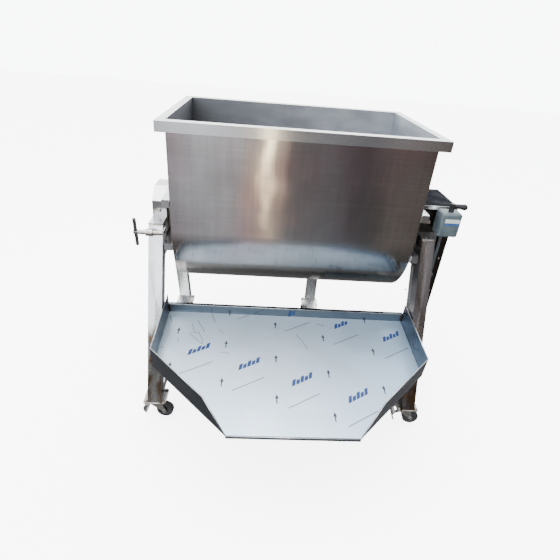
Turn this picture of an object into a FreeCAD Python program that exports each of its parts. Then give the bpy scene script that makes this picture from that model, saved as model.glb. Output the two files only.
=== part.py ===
import FreeCAD, Part
import math
import os

# Tilting horizontal trough mixer, in millimetres.
# While it is built: X to the right from the middle of the tub, Y to the back from the tilt axis, Z up from the floor.
# The export moves it so that the origin is the middle of its footprint, on the floor.

V = FreeCAD.Vector
X_AXIS = V(1, 0, 0)
Y_AXIS = V(0, 1, 0)
Z_AXIS = V(0, 0, 1)

# Tub: a folded sheet with a round bottom, two end plates and a folded rim
TUB_LENGTH = 878.0
TUB_WIDTH = 550.0
TUB_SHEET = 2.0
END_SHEET = 3.0
RIM_TOP = 1097.0
RIM_OVERHANG = 34.0
RIM_SIDE_OVERHANG = 26.0
RIM_HEIGHT = 33.0
RIM_LIP = 12.0
TUB_FRONT = -192.0
TROUGH_AXIS_Z = 716.0

# Square bars on the ends of the tub
BAR = 28.0
UPPER_BAR_Z = 809.0
LOWER_BAR_Z = 647.0
LOWER_BAR_BACK = 18.0
UPPER_BAR_BACK = 335.0

# Tilt pivots
PIVOT_Z = 788.0
TRUNNION_R = 25.0
TRUNNION_PLATE = 4.0
TRUNNION_PLATE_HALF = 70.0
RUNNING_GAP = 0.05
FACE_GAP = 0.3
SIDE_CLEARANCE = 2.0

# Stand: square tube legs, top plates and a base on casters
TUBE = 50.0
TUBE_WALL = 2.5
LEG_FOOT_Z = 96.0
TOP_PLATE = 6.0
TOP_PLATE_Z = 739.0
LEG_TOP_REACH = 168.0
FRONT_FOOT_REACH = 404.5
REAR_FOOT_REACH = 370.0
WEB_HEIGHT = 120.0
WEB_SHEET = 3.0
RAIL_HEIGHT = 40.0
CROSS_TUBE_FRONT = -95.0
POST_X = 145.0
POST_FRONT = 332.0
BUFFER_BACK = 102.0
BUFFER_HEIGHT = 40.0
BUFFER_R = 20.0
BUFFER_FLANGE = 5.0

# Pivot bearings and their covers
BEARING_WIDTH = 40.0
BEARING_HUMP_R = 38.0
BEARING_FOOT = 70.0
BEARING_FOOT_HEIGHT = 14.0
COVER_SHEET = 1.5
COVER_HALF = 95.0
COVER_SHOULDER_Z = 796.0
COVER_TOP_Z = 836.0
COVER_TOP_HALF = 39.0
COVER_SLOT = 4.0

# Drive casing on the right
CASING_SHEET = 2.0
CASING_HALF = 103.0
CASING_WIDTH = 54.0
CASING_TOP_Z = 844.0
CASING_BOTTOM_Z = 110.0
CASING_WIDE_Z = 660.0
CASING_NARROW_Z = 330.0
CASING_FOOT_BACK = -22.0
COLUMN_OFFSET = 25.0
COLUMN_PLATE = 8.0
LID_SKIRT = 12.0
GLAND_Z = 250.0
GLAND_R = 11.0
GLAND_BORE_R = 5.0
GLAND_HOLE_R = 7.0
GLAND_LENGTH = 25.0

# Motor, gearbox and chains
MOTOR_Y = -72.0
MOTOR_Z = 213.0
MOTOR_R = 62.0
MOTOR_LEFT_X = 190.0
TERMINAL_BOX_WIDTH = 80.0
TERMINAL_BOX_HEIGHT = 56.0
TERMINAL_BOX_REACH = 18.0
GEARBOX_LEFT_X = 400.0
GEARBOX_HALF = 56.0
GEARBOX_WIDTH = 100.0
MOTOR_SHAFT_R = 12.0
DRIVE_SHAFT_R = 16.0
DRIVE_PITCH = 12.7
MOTOR_TEETH = 11
DRIVEN_TEETH = 19
DRIVE_CHAIN_OFFSET = 21.0
DRIVE_SPROCKET_WIDTH = 7.0
TRANSFER_PITCH = 9.525
TRANSFER_TEETH = 11
AGITATOR_TEETH = 21
TRANSFER_CHAIN_OFFSET = 17.0
TRANSFER_SPROCKET_WIDTH = 5.0
CHAIN_PLATE = 1.5
CHAIN_SIDE_GAP = 0.3

# Agitator
SHAFT_R = 20.0
SWEEP_R = 264.0
ARM_R = 10.0
PADDLE_COUNT = 7
PADDLE_SPACING = TUB_LENGTH * 0.13
PADDLE_STEP_DEG = 75.0
PADDLE_WIDTH = 112.0
PADDLE_HEIGHT = 62.0
PADDLE_THICKNESS = 6.0
PADDLE_ANGLE = 38.0
SEAL_R = 38.0
SEAL_HEIGHT = 10.0

# Lock screw with its tee handle, on the front left leg
LOCK_Y = -193.0
LOCK_Z = 714.0
LOCK_ROD_R = 8.0
LOCK_REACH = 39.0
LOCK_NUT_R = 13.0
LOCK_NUT_LENGTH = 24.0
LOCK_PAD = 5.0
LOCK_PAD_HALF = 13.0
TEE_R = 6.0
TEE_HALF = 53.0
TEE_TILT_DEG = 7.0

# Drum switch
SWITCH_LEFT = 83.0
SWITCH_WIDTH = 75.0
SWITCH_DEPTH = 55.0
SWITCH_STANDOFF = 20.0
SWITCH_BOTTOM_Z = 754.0
SWITCH_HEIGHT = 90.0
SWITCH_ROUND = 9.0
LID_PLATE = 2.0
LEVER_HUB_R = 9.5
LEVER_HUB_HEIGHT = 30.0
LEVER_REACH = 52.0
LEVER_GRIP_R = 11.0
LEVER_NECK_R = 6.5
LEVER_TURN_DEG = -17.0
CONDUIT_INSET = 35.0
CONDUIT_END_Z = 165.0
SADDLE_WIDTH = 28.0
SADDLE_HEIGHT = 14.0
CONDUIT_R = 6.0
CONDUIT_BEND = 15.0

# Discharge tray
TRAY_SHEET = 2.0
TRAY_SIDE_GAP = 4.0
TRAY_FRONT_HALF = 202.0
TRAY_SIDE = 291.0
TRAY_DEPTH = 551.0
TRAY_BEND_SHARE = 0.73
TRAY_WALL = 85.0
TRAY_BACK_WALL = 38.0
TRAY_BACK_FLANGE = 12.0
TRAY_LIP = 10.0
TRAY_SLOPE_DEG = 5.2
TRAY_BACK_Y = -181.0
TRAY_BACK_Z = 372.0
BEARER = 30.0
BEARER_WALL = 3.0
BEARER_MARGIN = 20.0

# Casters
WHEEL_R = 32.5
WHEEL_WIDTH = 24.0
TYRE_DEPTH = 9.0
AXLE_R = 4.0
CASTER_TRAIL = 32.0
CASTER_PLATE = 4.0
CASTER_PLATE_X = 86.0
CASTER_PLATE_Y = 80.0
RACE_R = 27.0
RACE_HEIGHT = 8.0
CROWN_HEIGHT = 5.0
CHEEK = 3.0
CHEEK_GAP = 2.0
PEDAL_R = 28.0
PEDAL_SHEET = 2.5
PEDAL_WIDTH = 50.0
PEDAL_PIN_R = 3.0
PEDAL_EAR_R = 6.0
PEDAL_X = -20.0
PEDAL_Z = 44.0
FRONT_HEADING = -5.0
REAR_HEADING = 115.0

# Places worked out from the sizes above
END_X = TUB_LENGTH / 2
BAR_OUTER_X = END_X + BAR
TUB_BACK = TUB_FRONT + TUB_WIDTH
TROUGH_R = TUB_WIDTH / 2
TROUGH_AXIS_Y = TUB_FRONT + TROUGH_R
TRUNNION_END_X = BAR_OUTER_X + TRUNNION_PLATE
TRANSFER_CHAIN_X = END_X + TRANSFER_CHAIN_OFFSET
LEG_INNER_X = TRUNNION_END_X + SIDE_CLEARANCE
HOOD_INNER_X = LEG_INNER_X + CASING_SHEET
LEG_OUTER_X = LEG_INNER_X + TUBE
LEG_MID_X = LEG_INNER_X + TUBE / 2
LEG_TOP_Z = TOP_PLATE_Z - TOP_PLATE
RAIL_TOP_Z = LEG_FOOT_Z + RAIL_HEIGHT
COLUMN_X = LEG_OUTER_X + COLUMN_OFFSET
COLUMN_OUTER_X = COLUMN_X + COLUMN_PLATE
CASING_OUTER_X = COLUMN_X + CASING_WIDTH
DRIVE_CHAIN_X = COLUMN_OUTER_X + DRIVE_CHAIN_OFFSET
SWITCH_LEFT_X = CASING_OUTER_X - SWITCH_LEFT
CONDUIT_X = CASING_OUTER_X - CONDUIT_INSET
LOCK_OUTER_X = LEG_OUTER_X + LOCK_REACH
TRAY_HALF = LEG_INNER_X - TRAY_SIDE_GAP
BUFFER_Y = TROUGH_AXIS_Y + BUFFER_BACK
REST_ARM_TOP = TROUGH_AXIS_Z - math.sqrt(TROUGH_R ** 2 - BUFFER_BACK ** 2) - BUFFER_HEIGHT
REST_ARM_FRONT = BUFFER_Y - TUBE / 2
FRONT_SLOPE = (FRONT_FOOT_REACH - LEG_TOP_REACH) / (LEG_TOP_Z - LEG_FOOT_Z)
REAR_SLOPE = (REAR_FOOT_REACH - LEG_TOP_REACH) / (LEG_TOP_Z - LEG_FOOT_Z)
FRONT_LEG_DEPTH = TUBE * math.hypot(1, FRONT_SLOPE)
REAR_LEG_DEPTH = TUBE * math.hypot(1, REAR_SLOPE)
AXLE_Z = WHEEL_R
RACE_Z = LEG_FOOT_Z - CASTER_PLATE - RACE_HEIGHT
CROWN_Z = RACE_Z - FACE_GAP - CROWN_HEIGHT
FRONT_CASTER_Y = -FRONT_FOOT_REACH + CASTER_PLATE_Y / 2
REAR_CASTER_Y = REAR_FOOT_REACH - CASTER_PLATE_Y / 2
POST_MID_X = POST_X + TUBE / 2
POST_CASTER_Y = POST_FRONT + TUBE / 2


def box(x0, x1, y0, y1, z0, z1):
    return Part.makeBox(x1 - x0, y1 - y0, z1 - z0, V(x0, y0, z0))


def rod_x(x0, x1, y, z, r):
    return Part.makeCylinder(r, x1 - x0, V(x0, y, z), X_AXIS)


def rod_y(y0, y1, x, z, r):
    return Part.makeCylinder(r, y1 - y0, V(x, y0, z), Y_AXIS)


def rod_z(z0, z1, x, y, r):
    return Part.makeCylinder(r, z1 - z0, V(x, y, z0), Z_AXIS)


def prism_x(x0, x1, outline):
    """A solid between two X planes from an outline of (y, z) points."""
    points = [V(x0, y, z) for y, z in outline]
    face = Part.Face(Part.makePolygon(points + points[:1]))
    return face.extrude(V(x1 - x0, 0, 0))


def prism_y(y0, y1, outline):
    """A solid between two Y planes from an outline of (x, z) points."""
    points = [V(x, y0, z) for x, z in outline]
    return Part.Face(Part.makePolygon(points + points[:1])).extrude(V(0, y1 - y0, 0))


def join(shapes):
    whole = shapes[0].fuse(shapes[1:]) if len(shapes) > 1 else shapes[0]
    return whole.removeSplitter()


def mirrored_x(shape):
    return shape.mirror(V(0, 0, 0), X_AXIS)


def square_tube_y(x0, x1, y0, y1, z0, z1):
    inner = box(x0 + TUBE_WALL, x1 - TUBE_WALL, y0, y1, z0 + TUBE_WALL, z1 - TUBE_WALL)
    return box(x0, x1, y0, y1, z0, z1).cut(inner)


# Tub

def trough_outline(inset, top):
    """The U-shaped section of the tub, drawn as a closed wire at X = 0."""
    y0 = TUB_FRONT + inset
    y1 = TUB_BACK - inset
    low = V(0, TROUGH_AXIS_Y, TROUGH_AXIS_Z - TROUGH_R + inset)
    front = V(0, y0, TROUGH_AXIS_Z)
    back = V(0, y1, TROUGH_AXIS_Z)
    edges = [
        Part.makeLine(V(0, y0, top), front),
        Part.Arc(front, low, back).toShape(),
        Part.makeLine(back, V(0, y1, top)),
        Part.makeLine(V(0, y1, top), V(0, y0, top)),
    ]
    return Part.Wire(edges)


def trough_solid(inset, top, x0, x1):
    face = Part.Face(trough_outline(inset, top))
    face.translate(V(x0, 0, 0))
    return face.extrude(V(x1 - x0, 0, 0))


def trough_sheet():
    half = END_X - END_SHEET
    wall_top = RIM_TOP - TUB_SHEET
    outer = trough_solid(0, wall_top, -half, half)
    return outer.cut(trough_solid(TUB_SHEET, wall_top, -half, half))


def left_end_plate():
    plate = trough_solid(0, RIM_TOP - TUB_SHEET, -END_X, -END_X + END_SHEET)
    return plate.cut(rod_x(-END_X, 0, TROUGH_AXIS_Y, TROUGH_AXIS_Z, SHAFT_R + RUNNING_GAP))


def rim_frame():
    out_x = END_X + RIM_SIDE_OVERHANG
    y0 = TUB_FRONT - RIM_OVERHANG
    y1 = TUB_BACK + RIM_OVERHANG
    low = RIM_TOP - RIM_HEIGHT
    in_x = END_X - END_SHEET
    whole = box(-out_x, out_x, y0, y1, low, RIM_TOP)
    hollow = box(-out_x + TUB_SHEET, out_x - TUB_SHEET, y0 + TUB_SHEET, y1 - TUB_SHEET,
                 low + TUB_SHEET, RIM_TOP - TUB_SHEET)
    mouth = box(-in_x, in_x, TUB_FRONT + TUB_SHEET, TUB_BACK - TUB_SHEET, low, RIM_TOP)
    under = box(-out_x + RIM_LIP, out_x - RIM_LIP, y0 + RIM_LIP, y1 - RIM_LIP, low, low + TUB_SHEET)
    return whole.cut([hollow, mouth, under]).removeSplitter()


def end_bars():
    """Two square bars on each end of the tub, and the pad on the lower left one that the lock screw presses on."""
    bars = []
    for side in (-1, 1):
        x0, x1 = sorted((side * END_X, side * BAR_OUTER_X))
        bars.append(box(x0, x1, TUB_FRONT, UPPER_BAR_BACK, UPPER_BAR_Z, UPPER_BAR_Z + BAR))
        bars.append(box(x0, x1, TUB_FRONT, LOWER_BAR_BACK, LOWER_BAR_Z, LOWER_BAR_Z + BAR))
    bars.append(box(-BAR_OUTER_X, -BAR_OUTER_X + LOCK_PAD, LOCK_Y - LOCK_PAD_HALF, LOCK_Y + 2 * LOCK_PAD_HALF,
                    LOWER_BAR_Z + BAR, LOCK_Z + LOCK_PAD_HALF))
    return Part.makeCompound(bars)


def trunnion_plate():
    plate = box(BAR_OUTER_X, TRUNNION_END_X, -TRUNNION_PLATE_HALF, TRUNNION_PLATE_HALF, LOWER_BAR_Z,
                UPPER_BAR_Z + BAR)
    corners = [edge for edge in plate.Edges if abs(edge.tangentAt(edge.FirstParameter).x) > 0.9]
    return plate.makeFillet(BAR / 2, corners)


def right_trunnion():
    """A flange on the end bars with a hollow journal for the tilt, which the drive shaft runs through."""
    journal = rod_x(BAR_OUTER_X, LEG_OUTER_X - FACE_GAP, 0, PIVOT_Z, TRUNNION_R)
    bore = rod_x(BAR_OUTER_X, LEG_OUTER_X, 0, PIVOT_Z, DRIVE_SHAFT_R + RUNNING_GAP)
    return join([trunnion_plate(), journal]).cut(bore)


def left_trunnion():
    journal = rod_x(BAR_OUTER_X, LEG_OUTER_X - 2 * COVER_SHEET, 0, PIVOT_Z, TRUNNION_R)
    return mirrored_x(join([trunnion_plate(), journal]))


def shaft_seals():
    """A bolted bush housing on each end plate, round the agitator's shaft."""
    rings = []
    for side in (-1, 1):
        x0, x1 = sorted((side * END_X, side * (END_X + SEAL_HEIGHT)))
        ring = rod_x(x0, x1, TROUGH_AXIS_Y, TROUGH_AXIS_Z, SEAL_R)
        rings.append(ring.cut(rod_x(x0, x1, TROUGH_AXIS_Y, TROUGH_AXIS_Z, SHAFT_R + RUNNING_GAP)))
    return Part.makeCompound(rings)


# Agitator

def agitator_shaft():
    left = -END_X - SEAL_HEIGHT
    right = TRANSFER_CHAIN_X - TRANSFER_SPROCKET_WIDTH / 2
    shaft = rod_x(left, right, TROUGH_AXIS_Y, TROUGH_AXIS_Z, SHAFT_R)
    stub = rod_x(right, BAR_OUTER_X - 2 * CHAIN_PLATE, TROUGH_AXIS_Y, TROUGH_AXIS_Z, SHAFT_R / 2)
    return join([shaft, stub])


def paddle(x, turn, hand):
    """An arm with a slanted blade whose outer edge follows the round bottom of the tub."""
    arm = Part.makeCylinder(ARM_R, SWEEP_R - PADDLE_HEIGHT / 2, V(0, 0, 0), Z_AXIS)
    blade = Part.makeBox(PADDLE_WIDTH, PADDLE_THICKNESS, PADDLE_HEIGHT * 1.5,
                         V(-PADDLE_WIDTH / 2, -PADDLE_THICKNESS / 2, SWEEP_R - PADDLE_HEIGHT))
    blade.rotate(V(0, 0, 0), Z_AXIS, hand * PADDLE_ANGLE)
    tip = Part.makeCylinder(SWEEP_R, PADDLE_WIDTH * 2, V(-PADDLE_WIDTH, 0, 0), X_AXIS)
    whole = join([arm, blade.common(tip)])
    whole = whole.cut(Part.makeCylinder(SHAFT_R, 4 * SHAFT_R, V(-2 * SHAFT_R, 0, 0), X_AXIS))
    whole.rotate(V(0, 0, 0), X_AXIS, turn)
    whole.translate(V(x, TROUGH_AXIS_Y, TROUGH_AXIS_Z))
    return whole


def agitator_paddles():
    middle = (PADDLE_COUNT - 1) / 2
    blades = []
    for i in range(PADDLE_COUNT):
        hand = 1 if i < middle else -1
        blades.append(paddle((i - middle) * PADDLE_SPACING, 20 + i * PADDLE_STEP_DEG, hand))
    return Part.makeCompound(blades)


# Chains and sprockets

def pitch_radius(pitch, teeth):
    return pitch / 2 / math.sin(math.pi / teeth)


def sprocket(x, y, z, pitch, teeth, width, bore_r, hub_r, hub_x):
    """A toothed disc with round seats between its teeth, and a hub up to hub_x."""
    radius = pitch_radius(pitch, teeth)
    seat = 0.32 * pitch
    disc = rod_x(x - width / 2, x + width / 2, 0, 0, radius + seat)
    gaps = []
    for i in range(teeth):
        turn = 2 * math.pi * i / teeth
        across = V(0, math.cos(turn), math.sin(turn))
        side = V(0, -math.sin(turn), math.cos(turn))
        seat_at = V(x - width / 2, 0, 0) + across * radius
        gaps.append(Part.makeCylinder(seat, width, seat_at, X_AXIS))
        far = seat_at + across * pitch
        corners = [seat_at - side * seat, seat_at + side * seat, far + side * seat * 1.7, far - side * seat * 1.7]
        wedge = Part.Face(Part.makePolygon(corners + corners[:1]))
        gaps.append(wedge.extrude(V(width, 0, 0)))
    toothed = disc.cut(gaps)
    hub = rod_x(min(x, hub_x), max(x, hub_x), 0, 0, hub_r)
    whole = join([toothed, hub]).cut(rod_x(x - 4 * pitch, x + 4 * pitch, 0, 0, bore_r))
    whole.translate(V(0, y, z))
    return whole


def loop_face(x, a, ra, b, rb):
    """The area inside an open belt line round two circles of different radii, in a plane across X."""
    span = math.hypot(b[0] - a[0], b[1] - a[1])
    heading = math.atan2(b[1] - a[1], b[0] - a[0])
    lean = math.acos((ra - rb) / span)

    def at(centre, r, angle):
        return V(x, centre[0] + r * math.cos(angle), centre[1] + r * math.sin(angle))

    up = heading + lean
    down = heading - lean
    edges = [
        Part.makeLine(at(a, ra, down), at(b, rb, down)),
        Part.Arc(at(b, rb, down), at(b, rb, heading), at(b, rb, up)).toShape(),
        Part.makeLine(at(b, rb, up), at(a, ra, up)),
        Part.Arc(at(a, ra, up), at(a, ra, heading + math.pi), at(a, ra, down)).toShape(),
    ]
    return Part.Face(Part.Wire(edges)), up, down


def chain(x, pitch, a, teeth_a, b, teeth_b, sprocket_width):
    """Two rows of side plates round both sprockets, with the rollers on the straight runs between them."""
    ra = pitch_radius(pitch, teeth_a)
    rb = pitch_radius(pitch, teeth_b)
    half_plate = 0.38 * pitch
    inside = sprocket_width / 2 + CHAIN_SIDE_GAP
    pieces = []
    for x0 in (x - inside - CHAIN_PLATE, x + inside):
        outer = loop_face(x0, a, ra + half_plate, b, rb + half_plate)[0]
        inner = loop_face(x0, a, ra - half_plate, b, rb - half_plate)[0]
        pieces.append(outer.cut(inner).extrude(V(CHAIN_PLATE, 0, 0)))
    up, down = loop_face(x, a, ra, b, rb)[1:]
    for angle in (up, down):
        start = V(0, a[0] + ra * math.cos(angle), a[1] + ra * math.sin(angle))
        end = V(0, b[0] + rb * math.cos(angle), b[1] + rb * math.sin(angle))
        run = end - start
        free = run.Length - 3 * pitch
        count = int(free / (2 * pitch))
        for i in range(count + 1):
            at = start + run * ((1.5 * pitch + free * (i + 0.5) / (count + 1)) / run.Length)
            pieces.append(rod_x(x - inside - CHAIN_PLATE, x + inside + CHAIN_PLATE, at.y, at.z, 0.3 * pitch))
    return join(pieces)


def drive_chain():
    return chain(DRIVE_CHAIN_X, DRIVE_PITCH, (0, PIVOT_Z), DRIVEN_TEETH, (MOTOR_Y, MOTOR_Z), MOTOR_TEETH,
                 DRIVE_SPROCKET_WIDTH)


def transfer_chain():
    return chain(TRANSFER_CHAIN_X, TRANSFER_PITCH, (0, PIVOT_Z), TRANSFER_TEETH,
                 (TROUGH_AXIS_Y, TROUGH_AXIS_Z), AGITATOR_TEETH, TRANSFER_SPROCKET_WIDTH)


def drive_shaft():
    left = TRANSFER_CHAIN_X - TRANSFER_SPROCKET_WIDTH
    right = DRIVE_CHAIN_X + 2 * DRIVE_SPROCKET_WIDTH
    neck = TRANSFER_CHAIN_X + TRANSFER_SPROCKET_WIDTH
    thin = rod_x(left, neck, 0, PIVOT_Z, SHAFT_R / 2)
    return join([thin, rod_x(neck, right, 0, PIVOT_Z, DRIVE_SHAFT_R)])


def driven_sprocket():
    hub_x = COLUMN_OUTER_X + FACE_GAP
    return sprocket(DRIVE_CHAIN_X, 0, PIVOT_Z, DRIVE_PITCH, DRIVEN_TEETH, DRIVE_SPROCKET_WIDTH,
                    DRIVE_SHAFT_R, DRIVE_SHAFT_R * 1.6, hub_x)


def transfer_sprocket():
    hub_x = TRANSFER_CHAIN_X + TRANSFER_SPROCKET_WIDTH
    return sprocket(TRANSFER_CHAIN_X, 0, PIVOT_Z, TRANSFER_PITCH, TRANSFER_TEETH,
                    TRANSFER_SPROCKET_WIDTH, SHAFT_R / 2, SHAFT_R * 0.62, hub_x)


def agitator_sprocket():
    hub_x = TRANSFER_CHAIN_X + TRANSFER_SPROCKET_WIDTH
    return sprocket(TRANSFER_CHAIN_X, TROUGH_AXIS_Y, TROUGH_AXIS_Z, TRANSFER_PITCH, AGITATOR_TEETH,
                    TRANSFER_SPROCKET_WIDTH, SHAFT_R / 2, SHAFT_R, hub_x)


def motor_sprocket():
    """The gearbox's output shaft with the small sprocket on it."""
    toothed = sprocket(DRIVE_CHAIN_X, MOTOR_Y, MOTOR_Z, DRIVE_PITCH, MOTOR_TEETH, DRIVE_SPROCKET_WIDTH,
                       MOTOR_SHAFT_R, MOTOR_SHAFT_R * 1.4, DRIVE_CHAIN_X - 2 * DRIVE_SPROCKET_WIDTH)
    shaft = rod_x(GEARBOX_LEFT_X + GEARBOX_WIDTH / 2, DRIVE_CHAIN_X + DRIVE_SPROCKET_WIDTH, MOTOR_Y, MOTOR_Z,
                  MOTOR_SHAFT_R)
    return join([toothed, shaft])


def gearbox():
    right = GEARBOX_LEFT_X + GEARBOX_WIDTH
    body = box(GEARBOX_LEFT_X, right, MOTOR_Y - GEARBOX_HALF, MOTOR_Y + GEARBOX_HALF,
               MOTOR_Z - GEARBOX_HALF, MOTOR_Z + GEARBOX_HALF)
    corners = [edge for edge in body.Edges if abs(edge.tangentAt(edge.FirstParameter).x) > 0.9]
    body = body.makeFillet(GEARBOX_HALF * 0.4, corners)
    nose = rod_x(right, COLUMN_X, MOTOR_Y, MOTOR_Z, MOTOR_SHAFT_R * 2.2)
    foot = box(GEARBOX_LEFT_X + BAR / 2, right - BAR / 2, MOTOR_Y - GEARBOX_HALF * 1.2,
               MOTOR_Y + GEARBOX_HALF * 1.2, RAIL_TOP_Z + TOP_PLATE, MOTOR_Z - GEARBOX_HALF + BAR / 2)
    bore = rod_x(GEARBOX_LEFT_X + GEARBOX_WIDTH / 2 - FACE_GAP, COLUMN_X, MOTOR_Y, MOTOR_Z,
                 MOTOR_SHAFT_R + RUNNING_GAP)
    return join([body, nose, foot]).cut(bore)


def motor():
    """The motor: a finned barrel with a fan cowl and a terminal box on its front side."""
    right = GEARBOX_LEFT_X
    core = rod_x(MOTOR_LEFT_X, right, MOTOR_Y, MOTOR_Z, MOTOR_R - 6)
    pieces = [core, rod_x(MOTOR_LEFT_X, MOTOR_LEFT_X + 45, MOTOR_Y, MOTOR_Z, MOTOR_R)]
    pieces.append(rod_x(right - 12, right, MOTOR_Y, MOTOR_Z, MOTOR_R))
    fin = box(MOTOR_LEFT_X + 45, right - 12, -1.5, 1.5, MOTOR_R - 8, MOTOR_R - 1)
    for i in range(16):
        rib = fin.copy()
        rib.rotate(V(0, 0, 0), X_AXIS, 22.5 * i)
        rib.translate(V(0, MOTOR_Y, MOTOR_Z))
        pieces.append(rib)
    middle = (MOTOR_LEFT_X + right) / 2
    pieces.append(box(middle - TERMINAL_BOX_WIDTH / 2, middle + TERMINAL_BOX_WIDTH / 2,
                      MOTOR_Y - MOTOR_R - TERMINAL_BOX_REACH, MOTOR_Y - MOTOR_R / 2,
                      MOTOR_Z - TERMINAL_BOX_HEIGHT / 2, MOTOR_Z + TERMINAL_BOX_HEIGHT / 2))
    return join(pieces)


def motor_base():
    left = MOTOR_LEFT_X + 20
    plate = box(left, LEG_OUTER_X, MOTOR_Y - GEARBOX_HALF * 1.3, MOTOR_Y + GEARBOX_HALF * 1.3,
                RAIL_TOP_Z, RAIL_TOP_Z + TOP_PLATE)
    cradle = box(left, left + 12, MOTOR_Y - MOTOR_R * 0.8, MOTOR_Y + MOTOR_R * 0.8, RAIL_TOP_Z + TOP_PLATE,
                 MOTOR_Z - MOTOR_R * 0.5)
    round_seat = rod_x(left, left + 12, MOTOR_Y, MOTOR_Z, MOTOR_R)
    return join([plate, cradle.cut(round_seat)])


# Stand

def leaning_tube(x0, foot_y, top_y, depth):
    """A square tube leg, cut level at its foot and its top."""
    def section(inset_x, inset):
        run = [(foot_y + inset, LEG_FOOT_Z), (foot_y + depth - inset, LEG_FOOT_Z),
               (top_y + depth - inset, LEG_TOP_Z), (top_y + inset, LEG_TOP_Z)]
        return prism_x(x0 + inset_x, x0 + TUBE - inset_x, run)
    wall = TUBE_WALL * depth / TUBE
    return section(0, 0), section(TUBE_WALL, wall)


def front_leg(x0):
    outer, inner = leaning_tube(x0, -FRONT_FOOT_REACH, -LEG_TOP_REACH, FRONT_LEG_DEPTH)
    return outer.cut(inner), outer


def rear_left_leg():
    foot = REAR_FOOT_REACH - REAR_LEG_DEPTH
    outer, inner = leaning_tube(-LEG_OUTER_X, foot, LEG_TOP_REACH - REAR_LEG_DEPTH, REAR_LEG_DEPTH)
    return outer.cut(inner), outer


def top_plates():
    """The plates on top of the legs, each with a web that turns down along its inner edge."""
    left = box(-LEG_OUTER_X, -LEG_INNER_X, -LEG_TOP_REACH, LEG_TOP_REACH, LEG_TOP_Z, TOP_PLATE_Z)
    half = CASING_HALF - CASING_SHEET
    right = box(LEG_INNER_X, LEG_OUTER_X, -LEG_TOP_REACH, half, LEG_TOP_Z, TOP_PLATE_Z)
    wing = box(LEG_OUTER_X, COLUMN_X, -half, half, LEG_TOP_Z, TOP_PLATE_Z)
    low = LEG_TOP_Z - WEB_HEIGHT
    left_web = box(-LEG_INNER_X - WEB_SHEET, -LEG_INNER_X, -FRONT_FOOT_REACH, REAR_FOOT_REACH, low, LEG_TOP_Z)
    left_web = between_legs(left_web, [front_leg(-LEG_OUTER_X)[1], rear_left_leg()[1]])
    right_web = box(LEG_INNER_X, LEG_INNER_X + WEB_SHEET, -FRONT_FOOT_REACH, half, low, LEG_TOP_Z)
    right_web = between_legs(right_web, [front_leg(LEG_INNER_X)[1]])
    return Part.makeCompound([join([left, left_web]), join([right, wing, right_web])])


def between_legs(shape, legs):
    """What is left of a shape behind the front leg, and in front of the rear one where there is one."""
    solids = shape.cut(legs).Solids
    return min(solids, key=lambda solid: abs(solid.CenterOfMass.y))


def left_side_rail():
    rail = square_tube_y(-LEG_OUTER_X, -LEG_INNER_X, -FRONT_FOOT_REACH, REAR_FOOT_REACH, LEG_FOOT_Z, RAIL_TOP_Z)
    return between_legs(rail, [front_leg(-LEG_OUTER_X)[1], rear_left_leg()[1]])


def right_side_rail():
    rail = square_tube_y(LEG_INNER_X, LEG_OUTER_X, -FRONT_FOOT_REACH, CROSS_TUBE_FRONT, LEG_FOOT_Z, RAIL_TOP_Z)
    return between_legs(rail, [front_leg(LEG_INNER_X)[1]])


def base_tubes():
    """The cross tube from the left rail to the column, and the spine that runs back to the rest post."""
    y0 = CROSS_TUBE_FRONT
    y1 = y0 + TUBE
    cross = box(-LEG_INNER_X, COLUMN_X, y0, y1, LEG_FOOT_Z, RAIL_TOP_Z)
    cross = cross.cut(box(-LEG_INNER_X, COLUMN_X, y0 + TUBE_WALL, y1 - TUBE_WALL,
                          LEG_FOOT_Z + TUBE_WALL, RAIL_TOP_Z - TUBE_WALL))
    spine = square_tube_y(POST_X, POST_X + TUBE, y1, POST_FRONT + TUBE, LEG_FOOT_Z, RAIL_TOP_Z)
    return Part.makeCompound([cross, spine])


def rest_post():
    """The post behind the tub, with an arm that reaches under it for the rubber buffer."""
    arm_low = REST_ARM_TOP - RAIL_HEIGHT
    x1 = POST_X + TUBE
    post = box(POST_X, x1, POST_FRONT, POST_FRONT + TUBE, RAIL_TOP_Z, arm_low)
    post = post.cut(box(POST_X + TUBE_WALL, x1 - TUBE_WALL, POST_FRONT + TUBE_WALL,
                        POST_FRONT + TUBE - TUBE_WALL, RAIL_TOP_Z, arm_low))
    arm = square_tube_y(POST_X, x1, REST_ARM_FRONT, POST_FRONT + TUBE, arm_low, REST_ARM_TOP)
    return join([post, arm])


def rest_buffer():
    column = rod_z(REST_ARM_TOP, TROUGH_AXIS_Z, POST_MID_X, BUFFER_Y, BUFFER_R)
    tub = rod_x(-END_X, END_X, TROUGH_AXIS_Y, TROUGH_AXIS_Z, TROUGH_R + FACE_GAP)
    flange = rod_z(REST_ARM_TOP, REST_ARM_TOP + BUFFER_FLANGE, POST_MID_X, BUFFER_Y, BUFFER_R * 1.2)
    return join([column.cut(tub), flange])


# Bearings and casing

def pivot_bearing(x_mid):
    """A foot-mounted bearing housing with its bore on the tilt axis."""
    x0 = x_mid - BEARING_WIDTH / 2
    x1 = x_mid + BEARING_WIDTH / 2
    foot = box(x0, x1, -BEARING_FOOT, BEARING_FOOT, TOP_PLATE_Z, TOP_PLATE_Z + BEARING_FOOT_HEIGHT)
    hump = rod_x(x0, x1, 0, PIVOT_Z, BEARING_HUMP_R)
    saddle = prism_x(x0, x1, [(-BEARING_HUMP_R * 1.25, TOP_PLATE_Z), (BEARING_HUMP_R * 1.25, TOP_PLATE_Z),
                              (BEARING_HUMP_R * 0.95, PIVOT_Z), (-BEARING_HUMP_R * 0.95, PIVOT_Z)])
    bore = rod_x(x0, x1, 0, PIVOT_Z, TRUNNION_R + RUNNING_GAP)
    return join([foot, hump, saddle]).cut(bore)


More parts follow.
